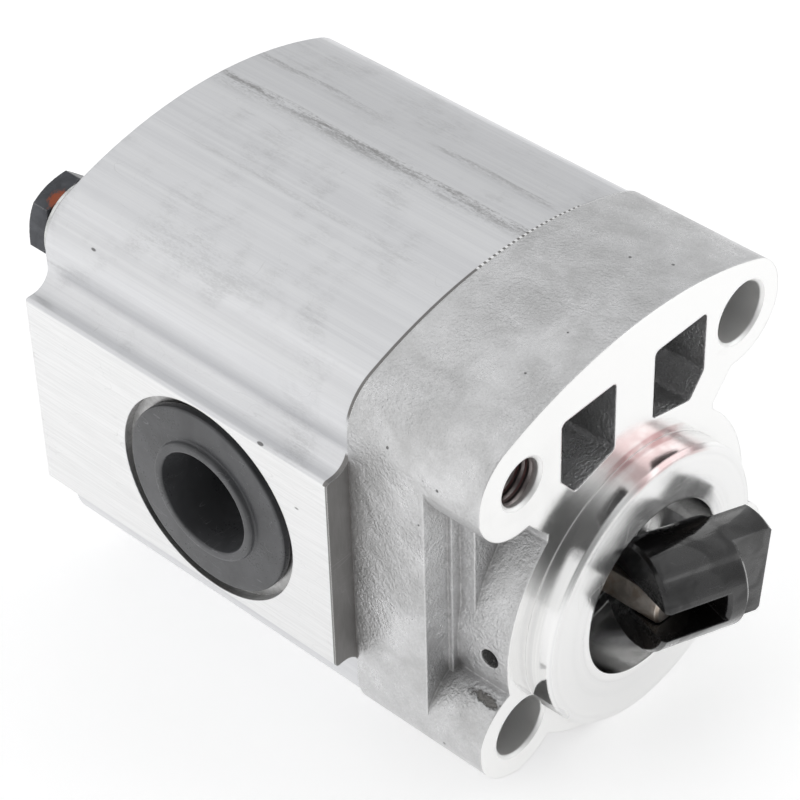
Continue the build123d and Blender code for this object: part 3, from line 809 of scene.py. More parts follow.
@dataclass(frozen=True)
class DrawnBodyFinish(Finish):
    """Extruded aluminium: drawn lines along Y, milled ends and spot-faced ports."""

    level: float = 0.76
    rough: float = 0.33
    line_depth_mm: float = 0.007

    def dress(self, wires: Wiring, shader: bpy.types.NodeInputs, point: bpy.types.NodeSocket) -> None:
        """Masks ends, port faces and bores, and wires the drawn skin over the rest.

        Args:
            wires: The wiring of the material.
            shader: The shader's inputs.
            point: The surface point in millimetres.
        """
        x, y, _ = wires.split(point)
        _, across, up = wires.facing()
        ends = wires.ramp(wires.maths("ABSOLUTE", across), 0.75, 0.9)
        wide = wires.maths("ABSOLUTE", x)
        port_face = wires.ramp(wide, SIZES.port_face - 0.12, SIZES.port_face - 0.04)
        ported = wires.vector("SUBTRACT", point, (0.0, SIZES.port_station, SIZES.middle_height)).outputs[0]
        _, port_y, port_z = wires.split(ported)
        port_radius = wires.vector("LENGTH", wires.joined(port_y, port_z, 0.0)).outputs["Value"]
        port = wires.product(
            wires.ramp(port_radius, SIZES.spotface_edge, SIZES.spotface_edge + 0.06, 1.0, 0.0),
            wires.ramp(wide, 20.0, 21.0),
        )
        lines = wires.group(EFFECTS.drawn_lines, Point=point, Pitch=1.0)
        rings = wires.group(EFFECTS.turned_rings, Point=wires.joined(port_y, port_z, wide), Pitch=1.0)
        marks = wires.group(EFFECTS.handling_marks, Point=point, Spacing=1.1)
        edges = wires.group(EFFECTS.worn_and_highlit_edges, Radius=0.00030)
        corner_shade = wires.group(EFFECTS.painted_corner_shade, Point=point, Reach=0.0025)

        drawn = wires.colour(
            lines.outputs["Tone"],
            colour_of(self.level * 0.93, (0.985, 0.99, 1.012)),
            colour_of(self.level * 1.02, (0.99, 0.995, 1.01)),
        )
        smear = self._streaks(wires, point, lines.outputs["Streak"])
        drawn = wires.colour(wires.product(smear, 0.75), drawn, (0.20, 0.195, 0.19, 1.0))
        brushed = wires.noise(wires.stretched(point, (1.0, 0.05, 2.2)), 1.2, 3.0, 0.7)
        flat = wires.colour(
            wires.ramp(brushed, 0.3, 0.7), colour_of(self.level * 1.07), colour_of(self.level * 1.18)
        )
        bored = wires.colour(rings.outputs["Tone"], colour_of(0.58), colour_of(0.78))
        shade = wires.colour(port_face, drawn, flat)
        shade = wires.colour(port, shade, bored)
        milled_end = wires.noise(wires.stretched(point, (1.0, 1.0, 0.15)), 2.4, 3.0, 0.6)
        end_shade = wires.colour(wires.ramp(milled_end, 0.3, 0.7), colour_of(0.80), colour_of(0.95))
        shade = wires.colour(ends, shade, end_shade)
        nicks = self._nicks(wires, x, y, up)
        shade = wires.colour(nicks[0], shade, colour_of(0.97))
        shade = wires.colour(nicks[1], shade, colour_of(0.12, (1.0, 0.94, 0.88)))
        # Edges lightened: partly edge wear, partly a painted highlight.
        shade = wires.colour(wires.product(edges.outputs["Mask"], 0.5), shade, colour_of(0.94))
        # Painted shade: the pits are painted near black for the shade inside them, away from the ends.
        pits = wires.product(
            wires.ramp(wires.cells(wires.stretched(point, (1.0, 0.45, 1.0)), 0.115), 0.030, 0.045, 1.0, 0.0),
            wires.ramp(ends, 0.0, 0.5, 1.0, 0.0),
        )
        shade = wires.colour(wires.product(pits, 0.85), shade, colour_of(0.12))
        shade = wires.colour(wires.product(marks.outputs["Scratch"], 0.30), shade, colour_of(0.50))
        # Painted shade: corners and hollows are darkened towards brown, and their gloss is dulled along with
        # the smears.
        painted_shade = wires.product(corner_shade.outputs["Mask"], 0.8)
        wires.feed(shader["Base Color"], wires.colour(painted_shade, shade, (0.09, 0.082, 0.075, 1.0)))

        rough = wires.between(lines.outputs["Tone"], self.rough + 0.04, self.rough - 0.02)
        rough = wires.between(wires.most(port_face, ends), rough, self.rough + 0.02)
        rough = wires.total(
            rough, wires.product(smear, 0.14), wires.product(marks.outputs["Smudge"], 0.06)
        )
        wires.feed(shader["Roughness"], rough)
        dulled = wires.most(painted_shade, wires.product(smear, 0.5))
        wires.feed(shader["Metallic"], wires.ramp(dulled, 0.2, 1.0, 1.0, 0.5))

        cut_away = wires.ramp(wires.most(port_face, ends, port), 0.2, 0.9, 1.0, 0.12)
        skin = wires.product(lines.outputs["Height"], cut_away)
        cut = wires.product(rings.outputs["Height"], wires.product(port, 0.8))
        scratched = wires.product(marks.outputs["Scratch"], -0.5)
        height = wires.total(skin, cut, wires.product(pits, -2.5), scratched)
        wires.feed(shader["Normal"], wires.bump(height, self.line_depth_mm, edges.outputs["Normal"]))

    @staticmethod
    def _streaks(wires: Wiring, point: Feed, dashes: Feed) -> bpy.types.NodeSocket:
        """Grey rub marks along two lines on the crown, a fainter third line and faint clouds.

        Args:
            wires: The wiring in use.
            point: The surface point in millimetres.
            dashes: The streak noise.

        Returns:
            The mask.
        """
        x, y, z = wires.split(point)
        top = wires.ramp(z, 20.0, 30.0)
        wander = wires.product(wires.maths("SUBTRACT", wires.noise(point, 0.035, 2.0), 0.5), 3.0)
        lean = wires.total(x, wander)
        first = wires.product(wires.ramp(lean, 2.6, 7.2), wires.ramp(lean, 7.2, 7.9, 1.0, 0.0))
        first = wires.product(first, wires.band(y, 28.0, 95.0, 5.0))
        second = wires.product(wires.ramp(lean, 13.4, 16.2), wires.ramp(lean, 16.2, 16.8, 1.0, 0.0), 0.6)
        reach = wires.most(wires.band(y, 74.0, 97.0, 12.0), wires.band(y, 33.0, 52.0, 8.0))
        second = wires.product(second, reach)
        third = wires.product(wires.band(lean, -10.5, -9.9, 0.8), wires.band(y, 40.0, 80.0, 12.0), 0.25)
        cloud = wires.product(wires.ramp(wires.noise(point, 0.09, 3.0, 0.6), 0.50, 0.70), 0.28)
        return wires.product(wires.most(first, second, third, cloud), dashes, top)

    @staticmethod
    def _nicks(wires: Wiring, x: Feed, y: Feed, up: Feed) -> tuple[bpy.types.NodeSocket, ...]:
        """Evenly spaced cutter nicks along the top of the joint, and the dark line by them.

        Args:
            wires: The wiring in use.
            x: Place across the crown.
            y: Place along the shaft.
            up: How far the surface faces up.

        Returns:
            The bright and the dark mask.
        """
        wave = wires.maths("SINE", wires.product(x, 2 * math.pi / SIZES.nick_pitch))
        row = wires.product(
            wires.ramp(y, SIZES.joint_station + 0.80, SIZES.joint_station + 0.95, 1.0, 0.0),
            wires.ramp(up, 0.2, 0.4),
        )
        toothed = wires.product(row, wires.band(x, -5.0, 19.0, 1.5))
        bright = wires.product(toothed, wires.ramp(wave, -0.2, 0.2))
        narrow = wires.ramp(y, SIZES.joint_station + 0.32, SIZES.joint_station + 0.45, 1.0, 0.0)
        wide = wires.product(row, wires.ramp(x, -5.0, -3.0, 1.0, 0.15))
        dark = wires.most(narrow, wide, wires.product(toothed, wires.ramp(wave, 0.0, -0.3)))
        return bright, wires.product(dark, wires.ramp(bright, 0.2, 0.8, 1.0, 0.0), 0.85)


@dataclass(frozen=True)
class SteelFinish(Finish):
    """Plain, ground, oiled or black steel, and the other metals inside the pump."""

    level: Sequence[float] = (0.5, 0.5, 0.5)
    worn: Sequence[float] = (0.6, 0.6, 0.6)
    rough: float = 0.25
    metallic: float = 1.0
    grain: float = 1.0
    edge_mm: float = 0.25
    oil: float = 0.0
    stain: Optional[Sequence[float]] = None

    def dress(self, wires: Wiring, shader: bpy.types.NodeInputs, point: bpy.types.NodeSocket) -> None:
        """Mottles the colour, wears the edges, and varies gloss with smudges and oil.

        Args:
            wires: The wiring of the material.
            shader: The shader's inputs.
            point: The surface point in millimetres.
        """
        marks = wires.group(EFFECTS.handling_marks, Point=point, Spacing=1.8)
        edges = wires.group(EFFECTS.worn_and_highlit_edges, Radius=self.edge_mm * MM)
        fine = wires.noise(point, 3.0 * self.grain, 3.0, 0.6)
        cloud = wires.noise(point, 0.30 * self.grain, 4.0, 0.6, 0.5)
        low, high = [tuple(v * f for v in self.level) + (1.0,) for f in (0.75, 1.2)]
        shade = wires.colour(wires.ramp(cloud, 0.3, 0.7), low, high)
        if self.stain is not None:
            patch = wires.ramp(wires.noise(point, 0.22, 3.0, 0.6, 1.0), 0.42, 0.62)
            shade = wires.colour(wires.product(patch, 0.7), shade, tuple(self.stain) + (1.0,))
        shade = wires.colour(wires.product(marks.outputs["Scratch"], 0.5), shade, tuple(self.worn) + (1.0,))
        worn = wires.product(edges.outputs["Mask"], wires.ramp(cloud, 0.35, 0.6, 0.25, 0.9))
        shade = wires.colour(worn, shade, tuple(self.worn) + (1.0,))
        shade = self.special(wires, point, shade)
        wires.feed(shader["Base Color"], shade)
        spread = wires.total(
            wires.ramp(fine, 0.3, 0.7, self.rough - 0.03, self.rough + 0.04),
            wires.product(marks.outputs["Smudge"], 0.10),
        )
        wires.feed(shader["Roughness"], spread)
        shader["Metallic"].default_value = self.metallic
        if self.oil > 0.0:
            film = wires.ramp(wires.noise(point, 0.18, 2.0, 0.5, 0.8), 0.35, 0.6, 0.35 * self.oil, self.oil)
            wires.feed(shader["Coat Weight"], film)
            shader["Coat Roughness"].default_value = 0.08
        height = wires.total(wires.product(fine, 0.6), wires.product(marks.outputs["Scratch"], -0.8))
        wires.feed(shader["Normal"], wires.bump(height, 0.010, edges.outputs["Normal"]))

    def special(self, wires: Wiring, point: Feed, shade: Feed) -> Feed:
        """The colour as it is; a finish with its own marks changes it here."""
        return shade


@dataclass(frozen=True)
class BoltFinish(SteelFinish):
    """Black-oxide bolt with a dab of torque paint on one flat."""

    dab_place: tuple[float, float, float] = (-30.2, 99.6, 44.6)

    def special(self, wires: Wiring, point: Feed, shade: Feed) -> Feed:
        """Adds the paint dab on the upper left bolt's head, beside its washer.

        Args:
            wires: The wiring in use.
            point: The surface point in millimetres.
            shade: The colour so far.

        Returns:
            The changed colour.
        """
        away = wires.vector("SUBTRACT", point, self.dab_place).outputs[0]
        distance = wires.vector("LENGTH", wires.stretched(away, (0.8, 0.9, 0.8))).outputs["Value"]
        broken = wires.total(distance, wires.product(wires.noise(point, 1.1, 4.0, 0.7), 2.4))
        dab = wires.ramp(broken, 2.2, 3.1, 0.75, 0.0)
        return wires.colour(dab, shade, (0.36, 0.085, 0.030, 1.0))


@dataclass(frozen=True)
class CouplerFinish(SteelFinish):
    """Black oily steel whose output flats are ground bright, their light grey partly a painted reflection."""

    pivot_station: float = -6.26
    turn: float = 6.4
    lean: float = 72.5
    flat_start: float = 11.8
    flat_height: float = 3.5

    def special(self, wires: Wiring, point: Feed, shade: Feed) -> Feed:
        """Brightens the two ground flats at the outer end; the light grey is partly a painted reflection.

        Args:
            wires: The wiring in use.
            point: The surface point in millimetres.
            shade: The colour so far.

        Returns:
            The changed colour.
        """
        turn, lean = math.radians(self.turn), math.radians(self.lean)
        run = (math.sin(lean) * math.cos(turn), -math.cos(lean), -math.sin(lean) * math.sin(turn))
        flat_way = (math.sin(turn), 0.0, math.cos(turn))
        away = wires.vector("SUBTRACT", point, (0.0, self.pivot_station, 0.0)).outputs[0]
        along = wires.vector("DOT_PRODUCT", away, run).outputs["Value"]
        height = wires.maths("ABSOLUTE", wires.vector("DOT_PRODUCT", away, flat_way).outputs["Value"])
        normal = wires.node("TexCoord").outputs["Normal"]
        face = wires.maths("ABSOLUTE", wires.vector("DOT_PRODUCT", normal, flat_way).outputs["Value"])
        flat = wires.product(
            wires.ramp(along, self.flat_start, self.flat_start + 0.1),
            wires.ramp(face, 0.9, 0.97),
            wires.ramp(height, self.flat_height, self.flat_height + 0.1, 1.0, 0.0),
        )
        rubbed = wires.noise(wires.stretched(point, (0.3, 3.0, 1.0)), 1.6, 3.0, 0.6)
        # Ground flats in light grey: partly bare ground steel, partly a painted reflection.
        ground = wires.colour(wires.ramp(rubbed, 0.3, 0.7), colour_of(0.36), colour_of(0.52))
        return wires.colour(flat, shade, ground)


@dataclass(frozen=True)
class MouldedFinish(Finish):
    """Moulded plastic or rubber with a fine skin, a soft mottle and scuffs."""

    level: Sequence[float] = (0.03, 0.03, 0.03)
    scuff: Sequence[float] = (0.12, 0.12, 0.12)
    rough: float = 0.40
    edge_mm: float = 0.25

    def dress(self, wires: Wiring, shader: bpy.types.NodeInputs, point: bpy.types.NodeSocket) -> None:
        """Wires the moulded skin, its mottle and its scuffs.

        Args:
            wires: The wiring of the material.
            shader: The shader's inputs.
            point: The surface point in millimetres.
        """
        marks = wires.group(EFFECTS.handling_marks, Point=point, Spacing=2.2)
        edges = wires.group(EFFECTS.worn_and_highlit_edges, Radius=self.edge_mm * MM)
        fine = wires.noise(point, 2.2, 3.0, 0.6)
        cloud = wires.noise(point, 0.14, 3.0, 0.6, 0.6)
        low, high = [tuple(v * f for v in self.level) + (1.0,) for f in (0.85, 1.3)]
        shade = wires.colour(wires.ramp(cloud, 0.3, 0.7), low, high)
        scuffed = wires.most(
            wires.product(marks.outputs["Scratch"], 0.8),
            wires.product(edges.outputs["Mask"], wires.ramp(cloud, 0.4, 0.6, 0.1, 0.6)),
        )
        shade = wires.colour(scuffed, shade, tuple(self.scuff) + (1.0,))
        wires.feed(shader["Base Color"], shade)
        wires.feed(
            shader["Roughness"],
            wires.total(
                wires.ramp(fine, 0.3, 0.7, self.rough - 0.05, self.rough + 0.05),
                wires.product(marks.outputs["Smudge"], 0.08),
            ),
        )
        height = wires.total(wires.product(fine, 0.5), wires.product(marks.outputs["Scratch"], -0.8))
        wires.feed(shader["Normal"], wires.bump(height, 0.012, edges.outputs["Normal"]))


@dataclass(frozen=True)
class FloorFinish(Finish):
    """A plain matt pale floor, lit a little from below like a light table."""

    level: float = 0.80
    glow: float = 0.50

    def dress(self, wires: Wiring, shader: bpy.types.NodeInputs, point: bpy.types.NodeSocket) -> None:
        """Gives the floor its one colour, its glow and a faint mottle in gloss.

        Args:
            wires: The wiring of the material.
            shader: The shader's inputs.
            point: The surface point in millimetres.
        """
        shader["Base Color"].default_value = colour_of(self.level)
        shader["Emission Color"].default_value = colour_of(1.0)
        shader["Emission Strength"].default_value = self.glow
        shader["Specular IOR Level"].default_value = 0.1
        wires.feed(shader["Roughness"], wires.ramp(wires.noise(point, 0.02, 2.0), 0.3, 0.7, 0.85, 0.95))


# ----------------------------------------------------------------- surfaces by numpy


def surface(
    name: str,
    grid: np.ndarray,
    wrap_rows: bool = False,
    first_pole: Optional[Sequence[float]] = None,
    last_pole: Optional[Sequence[float]] = None,
    crease: float = 35.0,
) -> bpy.types.Object:
    """A closed mesh from a grid of points whose columns always wrap round.

    Rows join to the next row by quads. With wrap_rows the last row joins the first;
    otherwise each end closes on a pole by a fan of triangles. If the signed volume, a sixth
    of the sum of the corner triple products, is negative, every face is turned over.

    Args:
        name: The object's name.
        grid: Points in metres, rows by columns by three.
        wrap_rows: Whether the last row joins the first.
        first_pole: The point that closes the first row.
        last_pole: The point that closes the last row.
        crease: Edges sharper than this angle stay sharp, in degrees.

    Returns:
        The new object, at the origin.
    """
    rows, columns = grid.shape[:2]
    points = grid.reshape(-1, 3)
    row = np.arange(rows if wrap_rows else rows - 1)[:, None]
    column = np.arange(columns)[None, :]
    beside, below = (column + 1) % columns, (row + 1) % rows
    quads = np.stack(
        [row * columns + column, row * columns + beside, below * columns + beside, below * columns + column],
        axis=-1,
    ).reshape(-1, 4)
    halves = [quads[:, [0, 1, 2]], quads[:, [0, 2, 3]]]
    fans = []
    for pole, at, flip in ((first_pole, 0, True), (last_pole, rows - 1, False)):
        if pole is None:
            continue
        points = np.vstack([points, np.asarray(pole, float)[None, :]])
        rim = at * columns + np.arange(columns)
        order = [np.roll(rim, -1), rim] if flip else [rim, np.roll(rim, -1)]
        fans.append(np.stack([order[0], order[1], np.full(columns, len(points) - 1)], axis=-1))
    corners = points[np.vstack(halves + fans)]
    volume = np.einsum("ij,ij->", corners[:, 0], np.cross(corners[:, 1], corners[:, 2])) / 6
    if volume < 0:
        quads, fans = quads[:, ::-1], [fan[:, ::-1] for fan in fans]
    faces = quads.tolist() + [face for fan in fans for face in fan.tolist()]
    mesh = bpy.data.meshes.new(name)
    mesh.from_pydata(points.tolist(), [], faces)
    mesh.polygons.foreach_set("use_smooth", np.ones(len(faces), bool))
    mesh.set_sharp_from_angle(angle=math.radians(crease))
    mesh.update()
    made = bpy.data.objects.new(name, mesh)
    bpy.context.scene.collection.objects.link(made)
    return made


def rounded_line(corners: Sequence[tuple[float, float, float]], steps: int = 6) -> np.ndarray:
    """A profile with each corner rounded by its own radius.

    At a corner the arc starts and ends at that radius from it, or at 0.45 of the shorter
    side if that is less, and its points are a quadratic blend of start, corner and end.

    Args:
        corners: First part, second part and radius of each corner.
        steps: Points on each arc.

    Returns:
        The profile's points, two numbers each.
    """
    places = np.array([c[:2] for c in corners], float)
    line = [places[0]]
    for before, here, after, (_, _, radius) in zip(places, places[1:], places[2:], corners[1:-1]):
        back, on = before - here, after - here
        reach = min(radius, 0.45 * np.linalg.norm(back), 0.45 * np.linalg.norm(on))
        start, end = here + back / np.linalg.norm(back) * reach, here + on / np.linalg.norm(on) * reach
        share = np.linspace(0, 1, steps)[:, None]
        line.extend((1 - share) ** 2 * start + 2 * share * (1 - share) * here + share**2 * end)
    line.append(places[-1])
    return np.array(line)


def dressed(piece: bpy.types.Object, look: bpy.types.Material, body: str) -> bpy.types.Object:
    """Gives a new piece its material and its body.

    Args:
        piece: The new object.
        look: Its material.
        body: The CAD body that it rides on.

    Returns:
        The same object.
    """
    piece.data.materials.append(look)
    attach(piece, body)
    LOG.info("%s: new piece on %s, %d faces", piece.name, body, len(piece.data.polygons))
    return piece


def repaint(node: str, look: bpy.types.Material) -> None:
    """Puts a material on every slot of a CAD node.

    Args:
        node: The node's name.
        look: The material.
    """
    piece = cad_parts[node]
    if not piece.material_slots:
        piece.data.materials.append(look)
    for slot in piece.material_slots:
        slot.material = look
    LOG.info("%s: %s", node, look.name)


# -------------------------------------------------------------------- sub-assemblies


@dataclass
class Housing:
    """Body, flange, joint seal and dowels, with the threads in the tapped holes."""

    thread_pitch: float = 1.5
    thread_root: float = 4.40
    thread_crest: float = 3.98
    thread_start: float = 0.7
    thread_end: float = 8.0

    def build(self) -> None:
        """Dresses the body, flange, seal ring and dowels, and adds the thread ridges."""
        flange = CastFlangeFinish("cast flange").material()
        repaint("pump_body", DrawnBodyFinish("drawn body").material())
        repaint("front_flange", flange)
        rubber = MouldedFinish("nitrile rubber", (0.02, 0.02, 0.02), (0.06, 0.06, 0.06), 0.5).material()
        repaint("body_seal_ring", rubber)
        dowel = SteelFinish("dowel steel", (0.42, 0.42, 0.43), (0.6, 0.6, 0.6), 0.22).material()
        for node in ("left_dowel", "right_dowel"):
            repaint(node, dowel)
        cut = SteelFinish(
            "tapped thread", (0.30, 0.27, 0.265), (0.62, 0.60, 0.60), 0.32, edge_mm=0.08
        ).material()
        for corner in (Corner.UPPER_LEFT, Corner.LOWER_RIGHT):
            name = f"{corner.name.lower()}_thread_ridge"
            dressed(self.ridge(name, corner), cut, "housing")

    def ridge(self, name: str, corner: Corner) -> bpy.types.Object:
        """One helical thread ridge on the wall of a tapped hole.

        A blunt triangle with its base in the wall is carried along a helix. The point at turn a
        has radius root less (root - crest) times the profile, and station start + pitch * a
        over a full turn. Over the first and last third of a turn the ridge rises from
        nothing.

        Args:
            name: The piece's name.
            corner: Which hole.

        Returns:
            The ridge.
        """
        hole_x, hole_z = SIZES.hole(corner)
        turns = (self.thread_end - self.thread_start) / self.thread_pitch
        angle = np.linspace(0, 2 * math.pi * turns, int(56 * turns))[:, None]
        share = angle / angle[-1]
        fade = np.clip(np.minimum(share, 1 - share) * turns * 3, 0.02, 1)
        lift = np.array([0.0, 0.0, 0.85, 1.0, 0.85])[None, :] * fade
        drift = np.array([0.55, -0.55, -0.16, 0.0, 0.16])[None, :] * self.thread_pitch * 0.8 * fade
        radius = self.thread_root - (self.thread_root - self.thread_crest) * lift
        station = self.thread_start + self.thread_pitch * angle / (2 * math.pi) + drift
        grid = np.stack(
            [hole_x + radius * np.cos(angle), station + 0 * angle, hole_z + radius * np.sin(angle)], axis=-1
        )
        return surface(
            name, grid * MM, first_pole=grid[0].mean(0) * MM, last_pole=grid[-1].mean(0) * MM, crease=50
        )


@dataclass
class GearTrain:
    """The two meshed gears on their shafts, the bearing blocks, bushes and balance seals."""

    ends: tuple[str, ...] = ("front", "rear")
    shafts: tuple[str, ...] = ("drive", "driven")

    def build(self) -> None:
        """Dresses every piece inside the gear chamber."""
        gears = SteelFinish(
            "ground gear steel",
            (0.55, 0.51, 0.47),
            (0.78, 0.76, 0.72),
            0.36,
            stain=(0.36, 0.28, 0.21),
            oil=0.3,
        ).material()
        blocks = SteelFinish("bearing alloy", (0.60, 0.60, 0.59), (0.8, 0.8, 0.8), 0.34).material()
        bronze = SteelFinish("bush bronze", (0.55, 0.36, 0.18), (0.78, 0.56, 0.32), 0.28, oil=0.3).material()
        rubber = MouldedFinish("balance rubber", (0.02, 0.02, 0.022), (0.06, 0.06, 0.06), 0.5).material()
        strip = MouldedFinish("backup strip", (0.78, 0.76, 0.70), (0.6, 0.58, 0.54), 0.45).material()
        for shaft in self.shafts:
            repaint(f"{shaft}_gear_shaft", gears)
        for end in self.ends:
            repaint(f"{end}_bearing_block", blocks)
        for end in self.ends:
            for shaft in self.shafts:
                repaint(f"{end}_{shaft}_bush", bronze)
            repaint(f"{end}_balance_seal", rubber)
            repaint(f"{end}_balance_backup", strip)


@dataclass
class ShaftSeal:
    """Lip seal with its case, garter spring and retaining ring."""

    ring_radius: float = 10.45
    ring_station: float = 16.175
    coil_radius: float = 0.52
    wire_radius: float = 0.16
    coils: int = 130

    def build(self) -> None:
        """Dresses the seal and winds its spring."""
        spring = SteelFinish("spring steel", (0.34, 0.34, 0.35), (0.6, 0.6, 0.6), 0.24, oil=0.4).material()
        case = SteelFinish("pressed seal case", (0.20, 0.20, 0.205), (0.5, 0.5, 0.5), 0.34).material()
        lip = MouldedFinish("seal rubber", (0.018, 0.018, 0.02), (0.06, 0.06, 0.06), 0.42).material()
        repaint("seal_case", case)
        repaint("seal_lip", lip)
        repaint("seal_retaining_ring", spring)
        piece = dressed(self.garter(), spring, "housing")
        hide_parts("seal_spring")

    def garter(self) -> bpy.types.Object:
        """The closed coil that hugs the lip.

        The wire's middle is at angle a round the shaft and coil angle coils times a: its
        radius is ring + coil * cos and its station is ring station + coil * sin. A small
        circle across the wire's run is carried along it.

        Returns:
            The spring.
        """
        round_shaft = np.linspace(0, 2 * math.pi, self.coils * 14, endpoint=False)
        coil = self.coils * round_shaft
        radial = np.stack([np.cos(round_shaft), np.zeros_like(coil), np.sin(round_shaft)], axis=-1)
        axial = np.array([0.0, 1.0, 0.0])
        spoke = radial * np.cos(coil)[:, None] + axial * np.sin(coil)[:, None]
        middle = radial * self.ring_radius + axial * self.ring_station + spoke * self.coil_radius
        run = np.roll(middle, -1, axis=0) - np.roll(middle, 1, axis=0)
        run /= np.linalg.norm(run, axis=1, keepdims=True)
        other = np.cross(run, spoke)
        tube = np.linspace(0, 2 * math.pi, 7, endpoint=False)
        grid = middle[:, None, :] + self.wire_radius * (
            spoke[:, None, :] * np.cos(tube)[None, :, None] + other[:, None, :] * np.sin(tube)[None, :, None]
        )
        return surface("garter_spring", grid * MM, wrap_rows=True)


@dataclass
class TieBolts:
    """The two hexagon-head bolts on the diagonal, and their washers."""

    across_flats: float = 14.0
    head_height: float = 5.1
    head_turn: float = 18.0
    shank_radius: float = 5.0
    thread_radius: float = 4.24
    thread_depth: float = 0.55
    pitch: float = 1.5
    tip_station: float = 8.3
    seat_station: float = 98.7
    columns: int = 144

    def build(self) -> None:
        """Turns both bolts and dresses the washers."""
        black = BoltFinish(
            "black oxide bolt", (0.080, 0.083, 0.091), (0.30, 0.30, 0.31), 0.36, oil=0.25, edge_mm=0.35
        ).material()
        zinc = SteelFinish("zinc washer", (0.66, 0.67, 0.66), (0.85, 0.85, 0.85), 0.26).material()
        for corner, label in ((Corner.UPPER_LEFT, "upper"), (Corner.LOWER_RIGHT, "lower")):
            piece = dressed(self.bolt(f"{label}_hex_bolt", corner), black, "housing")
            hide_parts(f"{label}_tie_bolt")
            repaint(f"{label}_bolt_washer", zinc)

    def bolt(self, name: str, corner: Corner) -> bpy.types.Object:
        """One bolt as a radius over angle and station.

        On the head the radius is the lesser of the hexagon's, half the flats over the
        cosine of the angle from the nearest flat's middle, and a cone's at each end. On
        the thread it falls by the depth times a triangle wave of station over pitch less
        the angle's share of a turn. Elsewhere it is the profile's.

        Args:
            name: The piece's name.
            corner: Which hole it sits in.

        Returns:
            The bolt.
        """
        hole_x, hole_z = SIZES.hole(corner)
        angle = np.linspace(0, 2 * math.pi, self.columns, endpoint=False)[None, :]
        nearest = np.mod(angle - math.radians(self.head_turn), math.pi / 3) - math.pi / 6
        hexagon = self.across_flats / 2 / np.cos(nearest)
        top = self.seat_station + self.head_height
        thread_rows = np.arange(self.tip_station + 0.6, SIZES.joint_station, self.pitch / 10)[:, None]
        wave = np.abs(np.mod(thread_rows / self.pitch - angle / (2 * math.pi), 1.0) * 2 - 1)
        thread = self.thread_radius - self.thread_depth * np.clip(wave * 1.25 - 0.1, 0, 1)
        flat = np.ones_like(angle)
        washer_face = self.across_flats / 2 * 0.97
        lower = np.linspace(0.35, 0.9, 4)[:, None]
        upper = np.linspace(self.head_height - 1.5, self.head_height - 0.12, 12)[:, None]
        under = np.minimum(hexagon, washer_face + (lower - 0.35) * 2.6)
        crown = np.minimum(hexagon, self.across_flats / 2 * 0.965 + (self.head_height - 0.12 - upper) * 1.75)
        stations = np.vstack(
            [
                [[self.tip_station]],
                thread_rows,
                [[SIZES.joint_station]],
                [[SIZES.joint_station + 0.5]],
                [[self.seat_station - 0.01]],
                [[self.seat_station]],
                [[self.seat_station + 0.33]],
                self.seat_station + lower,
                self.seat_station + upper,
                [[top - 0.03]],
                [[top]],
                [[top - 0.16]],
            ]
        )
        radii = np.vstack(
            [
                (self.thread_radius - 0.6) * flat,
                thread,
                (self.thread_radius - 0.1) * flat,
                self.shank_radius * flat,
                self.shank_radius * flat,
                washer_face * flat,
                washer_face * flat,
                under,
                crown,
                self.across_flats / 2 * 0.935 * flat,
                self.across_flats / 2 * 0.88 * flat,
                self.across_flats / 2 * 0.60 * flat,
            ]
        )
        grid = np.stack(
            [hole_x + radii * np.cos(angle), stations + 0 * angle, hole_z + radii * np.sin(angle)], axis=-1
        )
        return surface(
            name,
            grid * MM,
            first_pole=np.array([hole_x, self.tip_station, hole_z]) * MM,
            last_pole=np.array([hole_x, top - 0.18, hole_z]) * MM,
            crease=28,
        )


@dataclass
class DriveCoupler:
    """The loose fork that carries the drive from the motor to the shaft's tang."""

    edge_mm: float = 0.45

    def build(self) -> None:
        """Dresses the coupler."""
        look = CouplerFinish(
            "oily coupler steel",
            (0.006, 0.0057, 0.006),
            (0.07, 0.07, 0.075),
            0.20,
            metallic=0.10,
            oil=0.9,
            edge_mm=self.edge_mm,
        ).material()
        repaint("drive_coupler", look)


